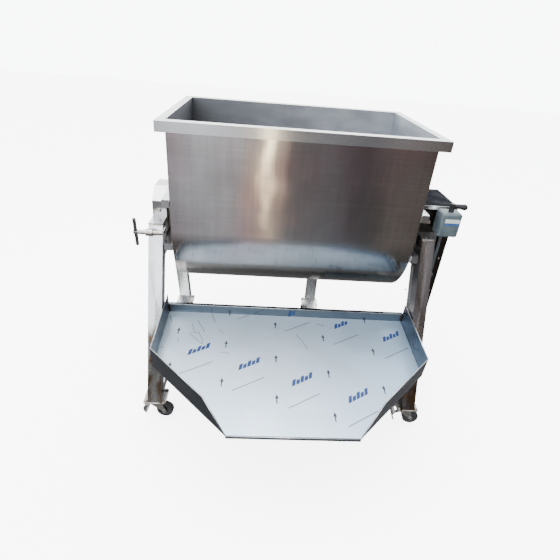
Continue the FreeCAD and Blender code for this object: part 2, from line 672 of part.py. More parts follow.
def left_bearing_cover():
    """A folded cover with sloped shoulders, open below, slotted for the trunnion on its inner side."""
    def section(inset):
        return [(-COVER_HALF + inset, TOP_PLATE_Z), (-COVER_HALF + inset, COVER_SHOULDER_Z - inset / 2),
                (-COVER_TOP_HALF + inset / 3, COVER_TOP_Z - inset), (COVER_TOP_HALF - inset / 3, COVER_TOP_Z - inset),
                (COVER_HALF - inset, COVER_SHOULDER_Z - inset / 2), (COVER_HALF - inset, TOP_PLATE_Z)]
    outer = prism_x(-LEG_OUTER_X, -LEG_INNER_X, section(0))
    inner = prism_x(-LEG_OUTER_X + COVER_SHEET, -LEG_INNER_X - COVER_SHEET, section(COVER_SHEET))
    slot_r = TRUNNION_R + COVER_SLOT
    hole = rod_x(-LEG_INNER_X - 2 * COVER_SHEET, -LEG_INNER_X, 0, PIVOT_Z, slot_r)
    slot = box(-LEG_INNER_X - 2 * COVER_SHEET, -LEG_INNER_X, -slot_r, slot_r, TOP_PLATE_Z, PIVOT_Z)
    return outer.cut([inner, hole, slot])


def casing_outline(inset, low, high):
    return [(-CASING_HALF + inset, low), (-CASING_HALF + inset, high), (CASING_HALF - inset, high),
            (CASING_HALF - inset, CASING_WIDE_Z), (CASING_FOOT_BACK - inset, CASING_NARROW_Z),
            (CASING_FOOT_BACK - inset, low)]


def column_plate():
    """The upright that carries the right pivot, with holes for the two shafts."""
    plate = prism_x(COLUMN_X, COLUMN_OUTER_X,
                    casing_outline(CASING_SHEET, LEG_FOOT_Z, CASING_TOP_Z - 2 * CASING_SHEET))
    shaft = rod_x(COLUMN_X, COLUMN_OUTER_X, 0, PIVOT_Z, DRIVE_SHAFT_R + RUNNING_GAP)
    output = rod_x(COLUMN_X, COLUMN_OUTER_X, MOTOR_Y, MOTOR_Z, MOTOR_SHAFT_R * 1.6)
    return plate.cut([shaft, output])


def drive_casing():
    """The folded sheet casing: a tapered chain case outside the column plate and a hood over the bearing."""
    s = CASING_SHEET
    top = CASING_TOP_Z
    outer = prism_x(COLUMN_OUTER_X, CASING_OUTER_X, casing_outline(0, CASING_BOTTOM_Z, top))
    inner = prism_x(COLUMN_OUTER_X, CASING_OUTER_X - s, casing_outline(s, CASING_BOTTOM_Z + s, top))
    hood = box(HOOD_INNER_X, COLUMN_OUTER_X, -CASING_HALF, CASING_HALF, TOP_PLATE_Z, top)
    hood = hood.cut(box(HOOD_INNER_X + s, COLUMN_OUTER_X, -CASING_HALF + s, CASING_HALF - s, TOP_PLATE_Z, top))
    slot_r = TRUNNION_R + COVER_SLOT
    hole = rod_x(HOOD_INNER_X, HOOD_INNER_X + s, 0, PIVOT_Z, slot_r)
    slot = box(HOOD_INNER_X, HOOD_INNER_X + s, -slot_r, slot_r, TOP_PLATE_Z, PIVOT_Z)
    gland = rod_y(CASING_FOOT_BACK - s, CASING_FOOT_BACK, gland_x(), GLAND_Z, GLAND_HOLE_R)
    return join([outer.cut(inner), hood]).cut([hole, slot, gland])


def casing_lid():
    s = LID_PLATE
    outer = box(HOOD_INNER_X - s, CASING_OUTER_X + s, -CASING_HALF - s, CASING_HALF + s,
                CASING_TOP_Z - LID_SKIRT, CASING_TOP_Z + s)
    return outer.cut(box(HOOD_INNER_X, CASING_OUTER_X, -CASING_HALF, CASING_HALF, CASING_TOP_Z - LID_SKIRT,
                         CASING_TOP_Z))


def gland_x():
    return (COLUMN_OUTER_X + CASING_OUTER_X) / 2


def cable_gland():
    """The inlet for the supply lead, on the back of the casing."""
    y = CASING_FOOT_BACK
    body = rod_y(y, y + GLAND_LENGTH, gland_x(), GLAND_Z, GLAND_R)
    nut = Part.makePolygon([V(gland_x() + GLAND_R * 1.25 * math.cos(math.radians(60 * i)), y + GLAND_LENGTH - 10,
                              GLAND_Z + GLAND_R * 1.25 * math.sin(math.radians(60 * i))) for i in range(7)])
    nut = Part.Face(nut).extrude(V(0, 8, 0))
    return join([body, nut]).cut(rod_y(y, y + GLAND_LENGTH, gland_x(), GLAND_Z, GLAND_BORE_R))


# Switch and lock screw

def switch_back():
    return -CASING_HALF - LID_PLATE - FACE_GAP - SWITCH_STANDOFF


def switch_box():
    """The rounded box, held off the casing by a bracket that passes under the lid's skirt."""
    y1 = switch_back()
    z1 = SWITCH_BOTTOM_Z + SWITCH_HEIGHT
    x1 = SWITCH_LEFT_X + SWITCH_WIDTH
    body = box(SWITCH_LEFT_X, x1, y1 - SWITCH_DEPTH, y1, SWITCH_BOTTOM_Z, z1)
    rounded = [edge for edge in body.Edges if edge.BoundBox.YMax < y1 - 1 or edge.BoundBox.YLength > 1]
    body = body.makeFillet(SWITCH_ROUND, rounded)
    pad = box(SWITCH_LEFT_X + SWITCH_ROUND, x1 - SWITCH_ROUND, y1 - 1, -CASING_HALF, SWITCH_BOTTOM_Z + SWITCH_ROUND,
              CASING_TOP_Z - LID_SKIRT - 2 * FACE_GAP)
    return join([body, pad])


def switch_axis():
    return SWITCH_LEFT_X + SWITCH_WIDTH / 2, switch_back() - SWITCH_DEPTH / 2


def switch_lever():
    """A turned hub with a grip that widens away from it, pointing to the right and a little to the front."""
    x, y = switch_axis()
    z = SWITCH_BOTTOM_Z + SWITCH_HEIGHT + FACE_GAP
    hub = rod_z(z, z + LEVER_HUB_HEIGHT, x, y, LEVER_HUB_R)
    axis_z = z + LEVER_HUB_HEIGHT - LEVER_NECK_R - 1
    end = LEVER_REACH - LEVER_GRIP_R
    grip = Part.makeCone(LEVER_NECK_R, LEVER_GRIP_R, end, V(x, y, axis_z), X_AXIS)
    lever = join([hub, grip, Part.makeSphere(LEVER_GRIP_R, V(x + end, y, axis_z))])
    lever.rotate(V(x, y, 0), Z_AXIS, LEVER_TURN_DEG)
    return lever


def switch_conduit():
    """The conduit from the switch down the front of the casing and into it, with two saddles."""
    y = -CASING_HALF - CONDUIT_R - 1
    bend_z = CONDUIT_END_Z + CONDUIT_BEND
    straight = rod_z(bend_z, SWITCH_BOTTOM_Z, CONDUIT_X, y, CONDUIT_R)
    ring = Part.Face(Part.Wire(Part.makeCircle(CONDUIT_R, V(CONDUIT_X, y, bend_z), Z_AXIS)))
    elbow = ring.revolve(V(CONDUIT_X, y + CONDUIT_BEND, bend_z), X_AXIS, 90)
    elbow = elbow.cut(box(CONDUIT_X - 20, CONDUIT_X + 20, -CASING_HALF, 0, CASING_BOTTOM_Z, bend_z))
    pieces = [straight, elbow]
    run = SWITCH_BOTTOM_Z - CONDUIT_END_Z
    for z in (SWITCH_BOTTOM_Z - run / 3, CONDUIT_END_Z + run / 3):
        pieces.append(box(CONDUIT_X - SADDLE_WIDTH / 2, CONDUIT_X + SADDLE_WIDTH / 2, y, -CASING_HALF,
                          z - SADDLE_HEIGHT / 2, z + SADDLE_HEIGHT / 2))
    return join(pieces)


def lock_nut():
    """The threaded boss welded to the front of the left leg."""
    x0 = -LEG_OUTER_X - 4
    boss = rod_x(x0, x0 + LOCK_NUT_LENGTH, LOCK_Y, LOCK_Z, LOCK_NUT_R)
    return boss.cut([front_leg(-LEG_OUTER_X)[1],
                     rod_x(x0, x0 + LOCK_NUT_LENGTH, LOCK_Y, LOCK_Z, LOCK_ROD_R + RUNNING_GAP)])


def lock_screw():
    return rod_x(-LOCK_OUTER_X + TEE_R + 1, -BAR_OUTER_X - FACE_GAP, LOCK_Y, LOCK_Z, LOCK_ROD_R)


def tee_handle():
    """The cross bar with the short hub that holds it on the end of the screw."""
    bar = rod_z(LOCK_Z - TEE_HALF, LOCK_Z + TEE_HALF, -LOCK_OUTER_X, LOCK_Y, TEE_R)
    bar.rotate(V(-LOCK_OUTER_X, LOCK_Y, LOCK_Z), X_AXIS, TEE_TILT_DEG)
    hub = rod_x(-LOCK_OUTER_X - TEE_R - 1, -LOCK_OUTER_X + TEE_R + 1, LOCK_Y, LOCK_Z, LOCK_ROD_R)
    return join([bar, hub])


# Discharge tray

def tray_place(shape):
    """Moves a shape from the tray's own frame (X right, Y back along the floor, Z off the floor) to the stand."""
    shape.rotate(V(0, 0, 0), X_AXIS, TRAY_SLOPE_DEG)
    shape.translate(V(0, TRAY_BACK_Y, TRAY_BACK_Z))
    return shape


def tray_outline(inset, low, high):
    """The tray's plan, narrowed by inset, as a solid from low to high off its floor."""
    lean = math.atan2(TRAY_HALF - TRAY_FRONT_HALF, TRAY_DEPTH - TRAY_SIDE)
    side = TRAY_SIDE - inset * math.tan(lean / 2)
    front_half = TRAY_FRONT_HALF - inset / math.cos(lean)
    plan = [(-TRAY_HALF + inset, -inset), (TRAY_HALF - inset, -inset), (TRAY_HALF - inset, -side),
            (front_half, -TRAY_DEPTH), (-front_half, -TRAY_DEPTH), (-TRAY_HALF + inset, -side)]
    points = [V(x, y, low) for x, y in plan]
    return Part.Face(Part.makePolygon(points + points[:1])).extrude(V(0, 0, high - low))


def discharge_tray():
    s = TRAY_SHEET
    shell = tray_outline(0, 0, TRAY_WALL).cut(tray_outline(s, s, TRAY_WALL))
    shell = shell.cut(box(-TRAY_HALF + s, TRAY_HALF - s, -s, 0, TRAY_BACK_WALL, TRAY_WALL))
    bend = TRAY_SIDE + (TRAY_DEPTH - TRAY_SIDE) * TRAY_BEND_SHARE
    wedge = prism_x(-TRAY_HALF, TRAY_HALF, [(-bend, TRAY_WALL), (-TRAY_DEPTH, s), (-TRAY_DEPTH - s, s),
                                            (-TRAY_DEPTH - s, TRAY_WALL + s), (-bend, TRAY_WALL + s)])
    shell = shell.cut(wedge)
    flange = box(-TRAY_HALF, TRAY_HALF, 0, TRAY_BACK_FLANGE, TRAY_BACK_WALL - s, TRAY_BACK_WALL)
    lip = box(-TRAY_FRONT_HALF, TRAY_FRONT_HALF, -TRAY_DEPTH - s, -TRAY_DEPTH, s - TRAY_LIP, s)
    return tray_place(join([shell, flange, lip]))


def tray_bearers():
    """Two angles welded to the inner sides of the front legs, under the edges of the tray."""
    outer = LEG_INNER_X
    front = BEARER_MARGIN - TRAY_SIDE
    angles = []
    for side in (-1, 1):
        x0, x1 = sorted((side * outer, side * (outer - BEARER_WALL)))
        upright = box(x0, x1, front, -BEARER_MARGIN, -BEARER, 0)
        x0, x1 = sorted((side * outer, side * (outer - BEARER)))
        shelf = box(x0, x1, front, -BEARER_MARGIN, -BEARER_WALL, 0)
        angles.append(join([upright, shelf]))
    return tray_place(Part.makeCompound(angles))


# Casters

def caster_places():
    return {
        "front_left": (-LEG_MID_X, FRONT_CASTER_Y, FRONT_HEADING),
        "front_right": (LEG_MID_X, FRONT_CASTER_Y, FRONT_HEADING),
        "rear_left": (-LEG_MID_X, REAR_CASTER_Y, REAR_HEADING),
        "rear_middle": (POST_MID_X, POST_CASTER_Y, REAR_HEADING),
    }


def caster_plates():
    """The four top plates, each with the upper half of its ball race."""
    plates = []
    for x, y, heading in caster_places().values():
        plate = box(x - CASTER_PLATE_X / 2, x + CASTER_PLATE_X / 2, y - CASTER_PLATE_Y / 2, y + CASTER_PLATE_Y / 2,
                    LEG_FOOT_Z - CASTER_PLATE, LEG_FOOT_Z)
        corners = [edge for edge in plate.Edges if abs(edge.tangentAt(edge.FirstParameter).z) > 0.9]
        plate = plate.makeFillet(CASTER_PLATE * 2, corners)
        race = Part.makeCone(RACE_R * 0.9, RACE_R, RACE_HEIGHT, V(x, y, RACE_Z), Z_AXIS)
        plates.append(join([plate, race]))
    return Part.makeCompound(plates)


def fork(with_brake):
    """The swivelling fork: a crown, two tapered cheeks and the axle bolt; the wheel trails along +X."""
    half = WHEEL_WIDTH / 2 + CHEEK_GAP
    crown = rod_z(CROWN_Z, CROWN_Z + CROWN_HEIGHT, 0, 0, RACE_R)
    cheeks = []
    for y0 in (-half - CHEEK, half):
        top = [(-RACE_R * 0.7, CROWN_Z + CROWN_HEIGHT / 2), (RACE_R * 0.7, CROWN_Z + CROWN_HEIGHT / 2)]
        low = [(CASTER_TRAIL + 9, AXLE_Z), (CASTER_TRAIL - 9, AXLE_Z)]
        brow = [(-RACE_R * 0.7, CROWN_Z - 14)]
        points = [V(x, y0, z) for x, z in top + low + brow]
        plate = Part.Face(Part.makePolygon(points + points[:1])).extrude(V(0, CHEEK, 0))
        cheeks.append(join([plate, rod_y(y0, y0 + CHEEK, CASTER_TRAIL, AXLE_Z, 9)]))
    axle = rod_y(-half - CHEEK - 3, half + CHEEK + 3, CASTER_TRAIL, AXLE_Z, AXLE_R)
    heads = [rod_y(-half - CHEEK - 4, -half - CHEEK, CASTER_TRAIL, AXLE_Z, 6.5),
             rod_y(half + CHEEK, half + CHEEK + 4, CASTER_TRAIL, AXLE_Z, 6.5)]
    pieces = [crown] + cheeks + [axle] + heads
    if with_brake:
        x, z = pedal_pin()
        pieces.append(rod_y(-half, half, x, z, PEDAL_PIN_R))
    return join(pieces)


def pedal_pin():
    return -RACE_R * 0.45, CROWN_Z - 8


def brake_pedal():
    """A pressed scoop that curves down beyond the wheel, with a slot in its top and two hinge ears."""
    half = PEDAL_WIDTH / 2
    x, z = pedal_pin()
    ring = rod_y(-half, half, PEDAL_X, PEDAL_Z, PEDAL_R).cut(
        rod_y(-half, half, PEDAL_X, PEDAL_Z, PEDAL_R - PEDAL_SHEET))
    far = PEDAL_X - 2 * PEDAL_R
    keep = prism_y(-half, half, [(PEDAL_X, PEDAL_Z), (PEDAL_X - PEDAL_R * 0.2, PEDAL_Z + 2 * PEDAL_R),
                                 (far, PEDAL_Z + 2 * PEDAL_R), (far, PEDAL_Z - 2 * PEDAL_R),
                                 (PEDAL_X - PEDAL_R * 1.5, PEDAL_Z - 2 * PEDAL_R)])
    scoop = ring.common(keep)
    slot_r = PEDAL_WIDTH * 0.08
    slot_half = PEDAL_WIDTH * 0.2
    slot_x = PEDAL_X - PEDAL_R * 0.5
    top = PEDAL_Z + PEDAL_R
    scoop = scoop.cut([rod_z(PEDAL_Z, top, slot_x, -slot_half, slot_r), rod_z(PEDAL_Z, top, slot_x, slot_half, slot_r),
                       box(slot_x - slot_r, slot_x + slot_r, -slot_half, slot_half, PEDAL_Z, top)])
    ears = []
    inner = WHEEL_WIDTH / 2 + CHEEK_GAP - FACE_GAP
    for y0 in (-inner, inner - CHEEK):
        reach = prism_y(y0, y0 + CHEEK, [(x, z - PEDAL_EAR_R), (x, z + PEDAL_EAR_R),
                                         (PEDAL_X - PEDAL_R * 0.36, PEDAL_Z + PEDAL_R * 0.89),
                                         (PEDAL_X - PEDAL_R * 0.71, PEDAL_Z + PEDAL_R * 0.62)])
        ears.append(join([reach, rod_y(y0, y0 + CHEEK, x, z, PEDAL_EAR_R)]))
    pedal = join([scoop] + ears)
    return pedal.cut(rod_y(-half, half, x, z, PEDAL_PIN_R + RUNNING_GAP))


def tyre():
    half = WHEEL_WIDTH / 2
    ring = rod_y(-half, half, CASTER_TRAIL, AXLE_Z, WHEEL_R)
    rims = [edge for edge in ring.Edges if edge.Curve.TypeId == "Part::GeomCircle"]
    ring = ring.makeFillet(TYRE_DEPTH / 3, rims)
    return ring.cut(rod_y(-half, half, CASTER_TRAIL, AXLE_Z, WHEEL_R - TYRE_DEPTH))


def wheel_hub():
    half = WHEEL_WIDTH / 2
    rim_r = WHEEL_R - TYRE_DEPTH
    disc = rod_y(-half + 2, half - 2, CASTER_TRAIL, AXLE_Z, rim_r)
    hub = rod_y(-half, half, CASTER_TRAIL, AXLE_Z, AXLE_R * 2.4)
    hollow = []
    for y0 in (-half + 2, half - 6):
        ring = rod_y(y0, y0 + 4, CASTER_TRAIL, AXLE_Z, rim_r - 3)
        hollow.append(ring.cut(rod_y(y0, y0 + 4, CASTER_TRAIL, AXLE_Z, AXLE_R * 2.4)))
    wheel = join([disc, hub]).cut(hollow)
    return wheel.cut(rod_y(-half, half, CASTER_TRAIL, AXLE_Z, AXLE_R + RUNNING_GAP))


def casters():
    pieces = {}
    for name, (x, y, heading) in caster_places().items():
        braked = name.startswith("front")
        made = {name + "_fork": fork(braked), name + "_tyre": tyre(), name + "_wheel_hub": wheel_hub()}
        if braked:
            made[name + "_brake_pedal"] = brake_pedal()
        for node, shape in made.items():
            shape.rotate(V(0, 0, 0), Z_AXIS, heading)
            shape.translate(V(x, y, 0))
            pieces[node] = shape
    return pieces


def build():
    pieces = {
        "front_left_leg": front_leg(-LEG_OUTER_X)[0],
        "front_right_leg": front_leg(LEG_INNER_X)[0],
        "rear_left_leg": rear_left_leg()[0],
        "top_plates": top_plates(),
        "left_side_rail": left_side_rail(),
        "right_side_rail": right_side_rail(),
        "base_tubes": base_tubes(),
        "rest_post": rest_post(),
        "rest_buffer": rest_buffer(),
        "left_bearing": pivot_bearing(-LEG_MID_X),
        "right_bearing": pivot_bearing(LEG_MID_X),
        "left_bearing_cover": left_bearing_cover(),
        "column_plate": column_plate(),
        "drive_casing": drive_casing(),
        "casing_lid": casing_lid(),
        "cable_gland": cable_gland(),
        "motor_base": motor_base(),
        "motor": motor(),
        "gearbox": gearbox(),
        "drive_chain": drive_chain(),
        "switch_box": switch_box(),
        "switch_conduit": switch_conduit(),
        "discharge_tray": discharge_tray(),
        "tray_bearers": tray_bearers(),
        "lock_nut": lock_nut(),
        "caster_plates": caster_plates(),
        "trough_sheet": trough_sheet(),
        "left_end_plate": left_end_plate(),
        "right_end_plate": mirrored_x(left_end_plate()),
        "rim_frame": rim_frame(),
        "end_bars": end_bars(),
        "left_trunnion": left_trunnion(),
        "right_trunnion": right_trunnion(),
        "shaft_seals": shaft_seals(),
        "transfer_chain": transfer_chain(),
        "drive_shaft": drive_shaft(),
        "driven_sprocket": driven_sprocket(),
        "transfer_sprocket": transfer_sprocket(),
        "agitator_shaft": agitator_shaft(),
        "agitator_paddles": agitator_paddles(),
        "agitator_sprocket": agitator_sprocket(),
        "motor_sprocket": motor_sprocket(),
        "lock_screw": lock_screw(),
        "tee_handle": tee_handle(),
        "switch_lever": switch_lever(),
    }
    pieces.update(casters())
    return pieces


def export(pieces):
    """Centres the whole footprint on the origin and writes one file for each piece."""
    whole = Part.makeCompound(list(pieces.values())).optimalBoundingBox(False, False)
    shift = V(-(whole.XMin + whole.XMax) / 2, -(whole.YMin + whole.YMax) / 2, -whole.ZMin)
    os.makedirs("parts", exist_ok=True)
    for node, shape in pieces.items():
        shape.translate(shift)
        shape.exportStep("parts/" + node + ".step")
    print("shift from the tilt axis to the footprint's middle:", [round(v, 4) for v in shift])
    print("size:", round(whole.XLength, 2), round(whole.YLength, 2), round(whole.ZLength, 2))
    print("pieces:", len(pieces))


export(build())
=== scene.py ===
"""Looks for the tilting trough mixer: finishes, welds, fasteners, the tray's film and the studio round it."""

import math

import bmesh
import bpy
from mathutils import Matrix, Vector, noise


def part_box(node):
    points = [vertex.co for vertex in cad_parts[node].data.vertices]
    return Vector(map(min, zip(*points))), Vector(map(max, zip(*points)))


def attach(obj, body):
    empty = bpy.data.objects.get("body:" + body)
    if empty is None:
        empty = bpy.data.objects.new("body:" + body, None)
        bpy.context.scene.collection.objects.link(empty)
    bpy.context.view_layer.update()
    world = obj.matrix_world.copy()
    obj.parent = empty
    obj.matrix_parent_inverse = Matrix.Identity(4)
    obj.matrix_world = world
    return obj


bl_info = {
    "name": "Trough Mixer",
    "version": (1, 0, 0),
    "blender": (4, 5, 0),
    "location": "View3D > Sidebar > Mixer",
    "description": "Dresses the trough mixer in its finishes, welds, fasteners and tray film",
    "category": "Object",
}

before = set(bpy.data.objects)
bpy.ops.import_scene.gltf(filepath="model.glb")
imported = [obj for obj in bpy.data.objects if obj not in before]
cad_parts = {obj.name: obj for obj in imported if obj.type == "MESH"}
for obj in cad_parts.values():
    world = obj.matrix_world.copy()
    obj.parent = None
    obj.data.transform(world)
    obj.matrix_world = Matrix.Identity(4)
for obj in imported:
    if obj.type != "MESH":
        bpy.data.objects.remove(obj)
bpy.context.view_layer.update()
MM = 0.001

# Sizes below count from the middle of the tub and from the tilt axis, which the rim's box gives.
RIM_LOW, RIM_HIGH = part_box("rim_frame")
MACHINE = Vector(((RIM_LOW.x + RIM_HIGH.x) / 2, RIM_LOW.y + 226 * MM, 0))


def linear(code):
    """An sRGB hex colour as the linear values that a shader takes."""
    parts = [int(code[i:i + 2], 16) / 255 for i in (1, 3, 5)]
    return tuple(p / 12.92 if p <= 0.04045 else ((p + 0.055) / 1.055) ** 2.4 for p in parts) + (1.0,)


def colour(name, description, code):
    """A colour that a user can change."""
    return bpy.props.FloatVectorProperty(name=name, description=description, subtype="COLOR", size=4,
                                         min=0, max=1, default=linear(code))


def length(name, description, millimetres):
    """A length that a user can change, shown in Blender's own unit."""
    return bpy.props.FloatProperty(name=name, description=description, subtype="DISTANCE", unit="LENGTH",
                                   min=0, default=millimetres * MM)

# dim yard just in front: azimuth in degrees, colour, strength.
GROUND_STOPS = (
    (-70, "#57534f", 1.0), (-35, "#85868b", 1.0), (-14, "#a4a6ac", 1.0), (-10, "#c6c7d0", 1.3),
    (-3, "#cfcdd2", 1.3), (0, "#c5b8b4", 1.2), (2.6, "#b3a5a0", 1.3), (5, "#a09c9d", 1.0),
    (10, "#86858a", 1.0), (15, "#666569", 1.0), (17.6, "#6d6a69", 1.0), (18.4, "#877f7c", 1.0),
    (23, "#837b77", 1.0), (26, "#4b4541", 1.0), (60, "#34302d", 1.0),
)

# yard further off: azimuth in degrees, colour, strength.
FAR_GROUND_STOPS = (
    (-120, "#dfe3ea", 1.0), (-14, "#b3b7bc", 1.0), (-11, "#e4e8ee", 2.0), (-3, "#e0e1e6", 2.0),
    (0, "#d0c6c0", 1.5), (2.8, "#a39c99", 1.0), (10, "#8f8e91", 1.0), (15, "#79777b", 1.0),
    (18, "#9d9494", 1.0), (26, "#7a716e", 1.0), (80, "#4a4440", 1.0),
)

# walls and sky at eye level: azimuth in degrees, colour, strength.
EYE_LEVEL_STOPS = (
    (-120, "#eef3fa", 3.0), (-60, "#eef3fa", 6.4), (-12, "#eef3fa", 6.4), (-4, "#d5d8de", 1.6),
    (2.8, "#9c999a", 1.0), (12, "#757175", 1.0), (26, "#625b58", 1.0), (100, "#4a4440", 1.0),
    (125, "#eef3fa", 2.6),
)


class MixerColours(bpy.types.PropertyGroup):
    """The colours of the mixer's finishes."""
    tub: colour("Tub", "Belt-ground stainless sheet of the tub", "#b7b5b3")
    tub_shade: colour("Tub shade", "Darker grain in the tub's sheet", "#8f8b88")
    tub_tint: colour("Tub tint", "Faint rose tint where the belt ran hot", "#b49ea0")
    tub_inside: colour("Tub inside", "Scoured inner faces of the tub", "#afb3ba")
    rim: colour("Rim", "Brighter stainless of the folded rim", "#cfcfd0")
    stand: colour("Stand", "Ground stainless square tube", "#d6d8da")
    stand_shade: colour("Stand shade", "Darker grain and smears on the tube", "#a7a5a2")
    # painted shade: a darker copy of the stand's colour for the right leg, for the shade on that side.
    shaded_stand_copy: colour("Dull stand", "The right leg's tube, less ground", "#b0abac")
    casing: colour("Casing", "Mill-finish sheet of the drive casing", "#575450")
    lid: colour("Casing lid", "Oil and dust on the casing's lid", "#1d1e22")
    tray: colour("Tray walls", "Cold-rolled sheet of the tray", "#6a7079")
    burnt: colour("Burnt weld", "Brown scale on the tray's corner welds", "#4a3a2a")
    heat: colour("Heat tint", "Straw and brown beside a weld", "#665444")
    bead: colour("Weld bead", "Bright metal of the weld beads", "#c9c4bd")
    film: colour("Film", "Pale blue film on the tray", "#bed0df")
    film_mark: colour("Film marks", "Blue print on the film", "#06295c")
    film_dark: colour("Film fine print", "Dark grey print on the film", "#1c2636")
    turned: colour("Turned steel", "Lock screw, tee and shafts", "#b9b4ad")
    chain: colour("Chain steel", "Oiled chain", "#6d6862")
    zinc: colour("Zinc plate", "Bright zinc on the casters", "#c3c2bd")
    casting: colour("Bearing casting", "Painted iron of the bearings", "#5d666b")
    motor: colour("Motor enamel", "Grey-blue enamel of the motor", "#667985")
    switch: colour("Switch enamel", "Grey-blue enamel of the switch box", "#495357")
    plate: colour("Switch plate", "Pale plate on the switch box", "#b9c0bf")
    plate_band: colour("Switch plate band", "Blue band under the plate", "#1f4f8a")
    black: colour("Black plastic", "Moulded lever and gland", "#1b1b1d")
    conduit: colour("Conduit", "Ribbed grey conduit", "#4d5158")
    rubber: colour("Rubber", "Buffer and tyres", "#232324")
    hub: colour("Hub", "Moulded nylon of the wheels", "#3b3b3d")
    floor: colour("Floor", "Pale studio floor", "#f4f4f4")


class MixerSizes(bpy.types.PropertyGroup):
    """The sizes of the small parts that the scene adds."""
    bead: length("Weld bead", "Width of a weld bead", 5)
    film_lift: length("Film lift", "Height of the film over the tray's sheet", 0.4)
    film_wave: length("Film wave", "Height of the film's wrinkles", 0.5)
    bolt: length("Bolt", "Width across the flats of the small bolts", 13)
    screw: length("Screw", "Head of the switch box's screws", 8)


def colours():
    return bpy.context.scene.mixer_colours


def sizes():
    return bpy.context.scene.mixer_sizes


# Materials


def add(material, kind, links=None, **settings):
    """Adds a node: settings are its properties, links give its sockets a value or another node's output."""
    node = material.node_tree.nodes.new(kind)
    for name, value in settings.items():
        setattr(node, name, value)
    for socket, value in (links or {}).items():
        if isinstance(value, bpy.types.NodeSocket):
            material.node_tree.links.new(value, node.inputs[socket])
        else:
            node.inputs[socket].default_value = value
    return node


def new_material(name, **shader):
    """A node material with one Principled shader, whose constant sockets are set here."""
    material = bpy.data.materials.new(name)
    material.use_nodes = True
    material.node_tree.nodes.clear()
    principled = add(material, "ShaderNodeBsdfPrincipled",
                     {key.replace("_", " ").title().replace("Ior", "IOR"): value
                      for key, value in shader.items()})
    add(material, "ShaderNodeOutputMaterial", {"Surface": principled.outputs[0]})
    return material, principled


def place(material, across=(1, 1, 1)):
    """Object coordinates, with one unit per given number of millimetres along each axis."""
    where = add(material, "ShaderNodeTexCoord").outputs["Object"]
    scale = tuple(1 / (mm * MM) for mm in across)
    return add(material, "ShaderNodeMapping", {"Vector": where, "Scale": scale}).outputs[0]


def spread(material, across, detail=2.0, rough=0.5, low=0.3, high=0.7):
    """Noise with features of the given millimetres, stretched to run from 0 to 1 between low and high."""
    pattern = add(material, "ShaderNodeTexNoise", {"Vector": place(material, across), "Scale": 1.0,
                                                   "Detail": detail,
                                                   "Roughness": rough})
    return add(material, "ShaderNodeMapRange",
               {"Value": pattern.outputs[0], "From Min": low, "From Max": high},
               interpolation_type="SMOOTHSTEP").outputs[0]


def blend_colour(material, share, low, high, mode="MIX"):
    """Two colours mixed by a share."""
    mix = add(material, "ShaderNodeMix", {"Factor": share}, data_type="RGBA", blend_type=mode)
    for socket, value in ((6, low), (7, high)):
        if isinstance(value, bpy.types.NodeSocket):
            material.node_tree.links.new(value, mix.inputs[socket])
        else:
            mix.inputs[socket].default_value = value
    return mix.outputs[2]


def sum_of(material, *shares):
    """Weighted sum of several patterns, given as (pattern, weight)."""
    total = None
    for pattern, weight in shares:
        part = add(material, "ShaderNodeMath", {0: pattern, 1: weight}, operation="MULTIPLY").outputs[0]
        total = part if total is None else add(material, "ShaderNodeMath", {0: total, 1: part},
                                               operation="ADD").outputs[0]
    return total


def ranged(material, value, low, high, start=0.0, end=1.0):
    """A value that runs from start to end, turned into one that runs from low to high."""
    return add(material, "ShaderNodeMapRange", {"Value": value, "From Min": start, "From Max": end,
                                                "To Min": low, "To Max": high}).outputs[0]


def link(material, source, shader, socket):
    material.node_tree.links.new(source, shader.inputs[socket])


def brushed_stainless(name, grain, weights=(0.2, 0.22, 0.4), dents=0.0):
    """Stainless ground with a belt: fine lines, fainter streaks across, cloudy patches and shallow dents."""
    material, shader = new_material(name, metallic=1.0, anisotropic=1.0, anisotropic_rotation=0.0)
    tangent = add(material, "ShaderNodeTangent", direction_type="RADIAL", axis=grain)
    link(material, tangent.outputs[0], shader, "Tangent")
    long_way = {"X": (320, 5, 5), "Y": (5, 320, 5), "Z": (5, 5, 320)}[grain]
    lines = spread(material, long_way, detail=3.0, low=0.25, high=0.75)
    cross_way = {"X": (14, 240, 240), "Y": (240, 14, 240), "Z": (9, 9, 60)}[grain]
    cross = spread(material, cross_way, detail=3.0, low=0.3, high=0.8)
    clouds = spread(material, (190, 190, 150), detail=4.0, low=0.3, high=0.72)
    tone = sum_of(material, (lines, weights[0]), (cross, weights[1]), (clouds, weights[2]))
    wave = spread(material, (210, 210, 130), detail=1.0, low=0.2, high=0.8)
    dented = add(material, "ShaderNodeBump", {"Height": wave, "Strength": 1.0, "Distance": dents * MM})
    ground = sum_of(material, (lines, 0.6), (cross, 0.4))
    relief = add(material, "ShaderNodeBump", {"Height": ground, "Strength": 0.13,
                                              "Distance": 0.00015, "Normal": dented.outputs[0]})
    link(material, relief.outputs[0], shader, "Normal")
    return material, shader, tone


def inner_faces(material, centre):
    """1 on faces that look towards a point, 0 on those that look away from it."""
    coordinates = add(material, "ShaderNodeTexCoord")
    outward = add(material, "ShaderNodeVectorMath", {0: coordinates.outputs["Object"], 1: centre},
                  operation="SUBTRACT").outputs[0]
    facing = add(material, "ShaderNodeVectorMath", {0: outward, 1: coordinates.outputs["Normal"]},
                 operation="DOT_PRODUCT").outputs["Value"]
    return add(material, "ShaderNodeMath", {0: facing, 1: 0.0}, operation="LESS_THAN").outputs[0]


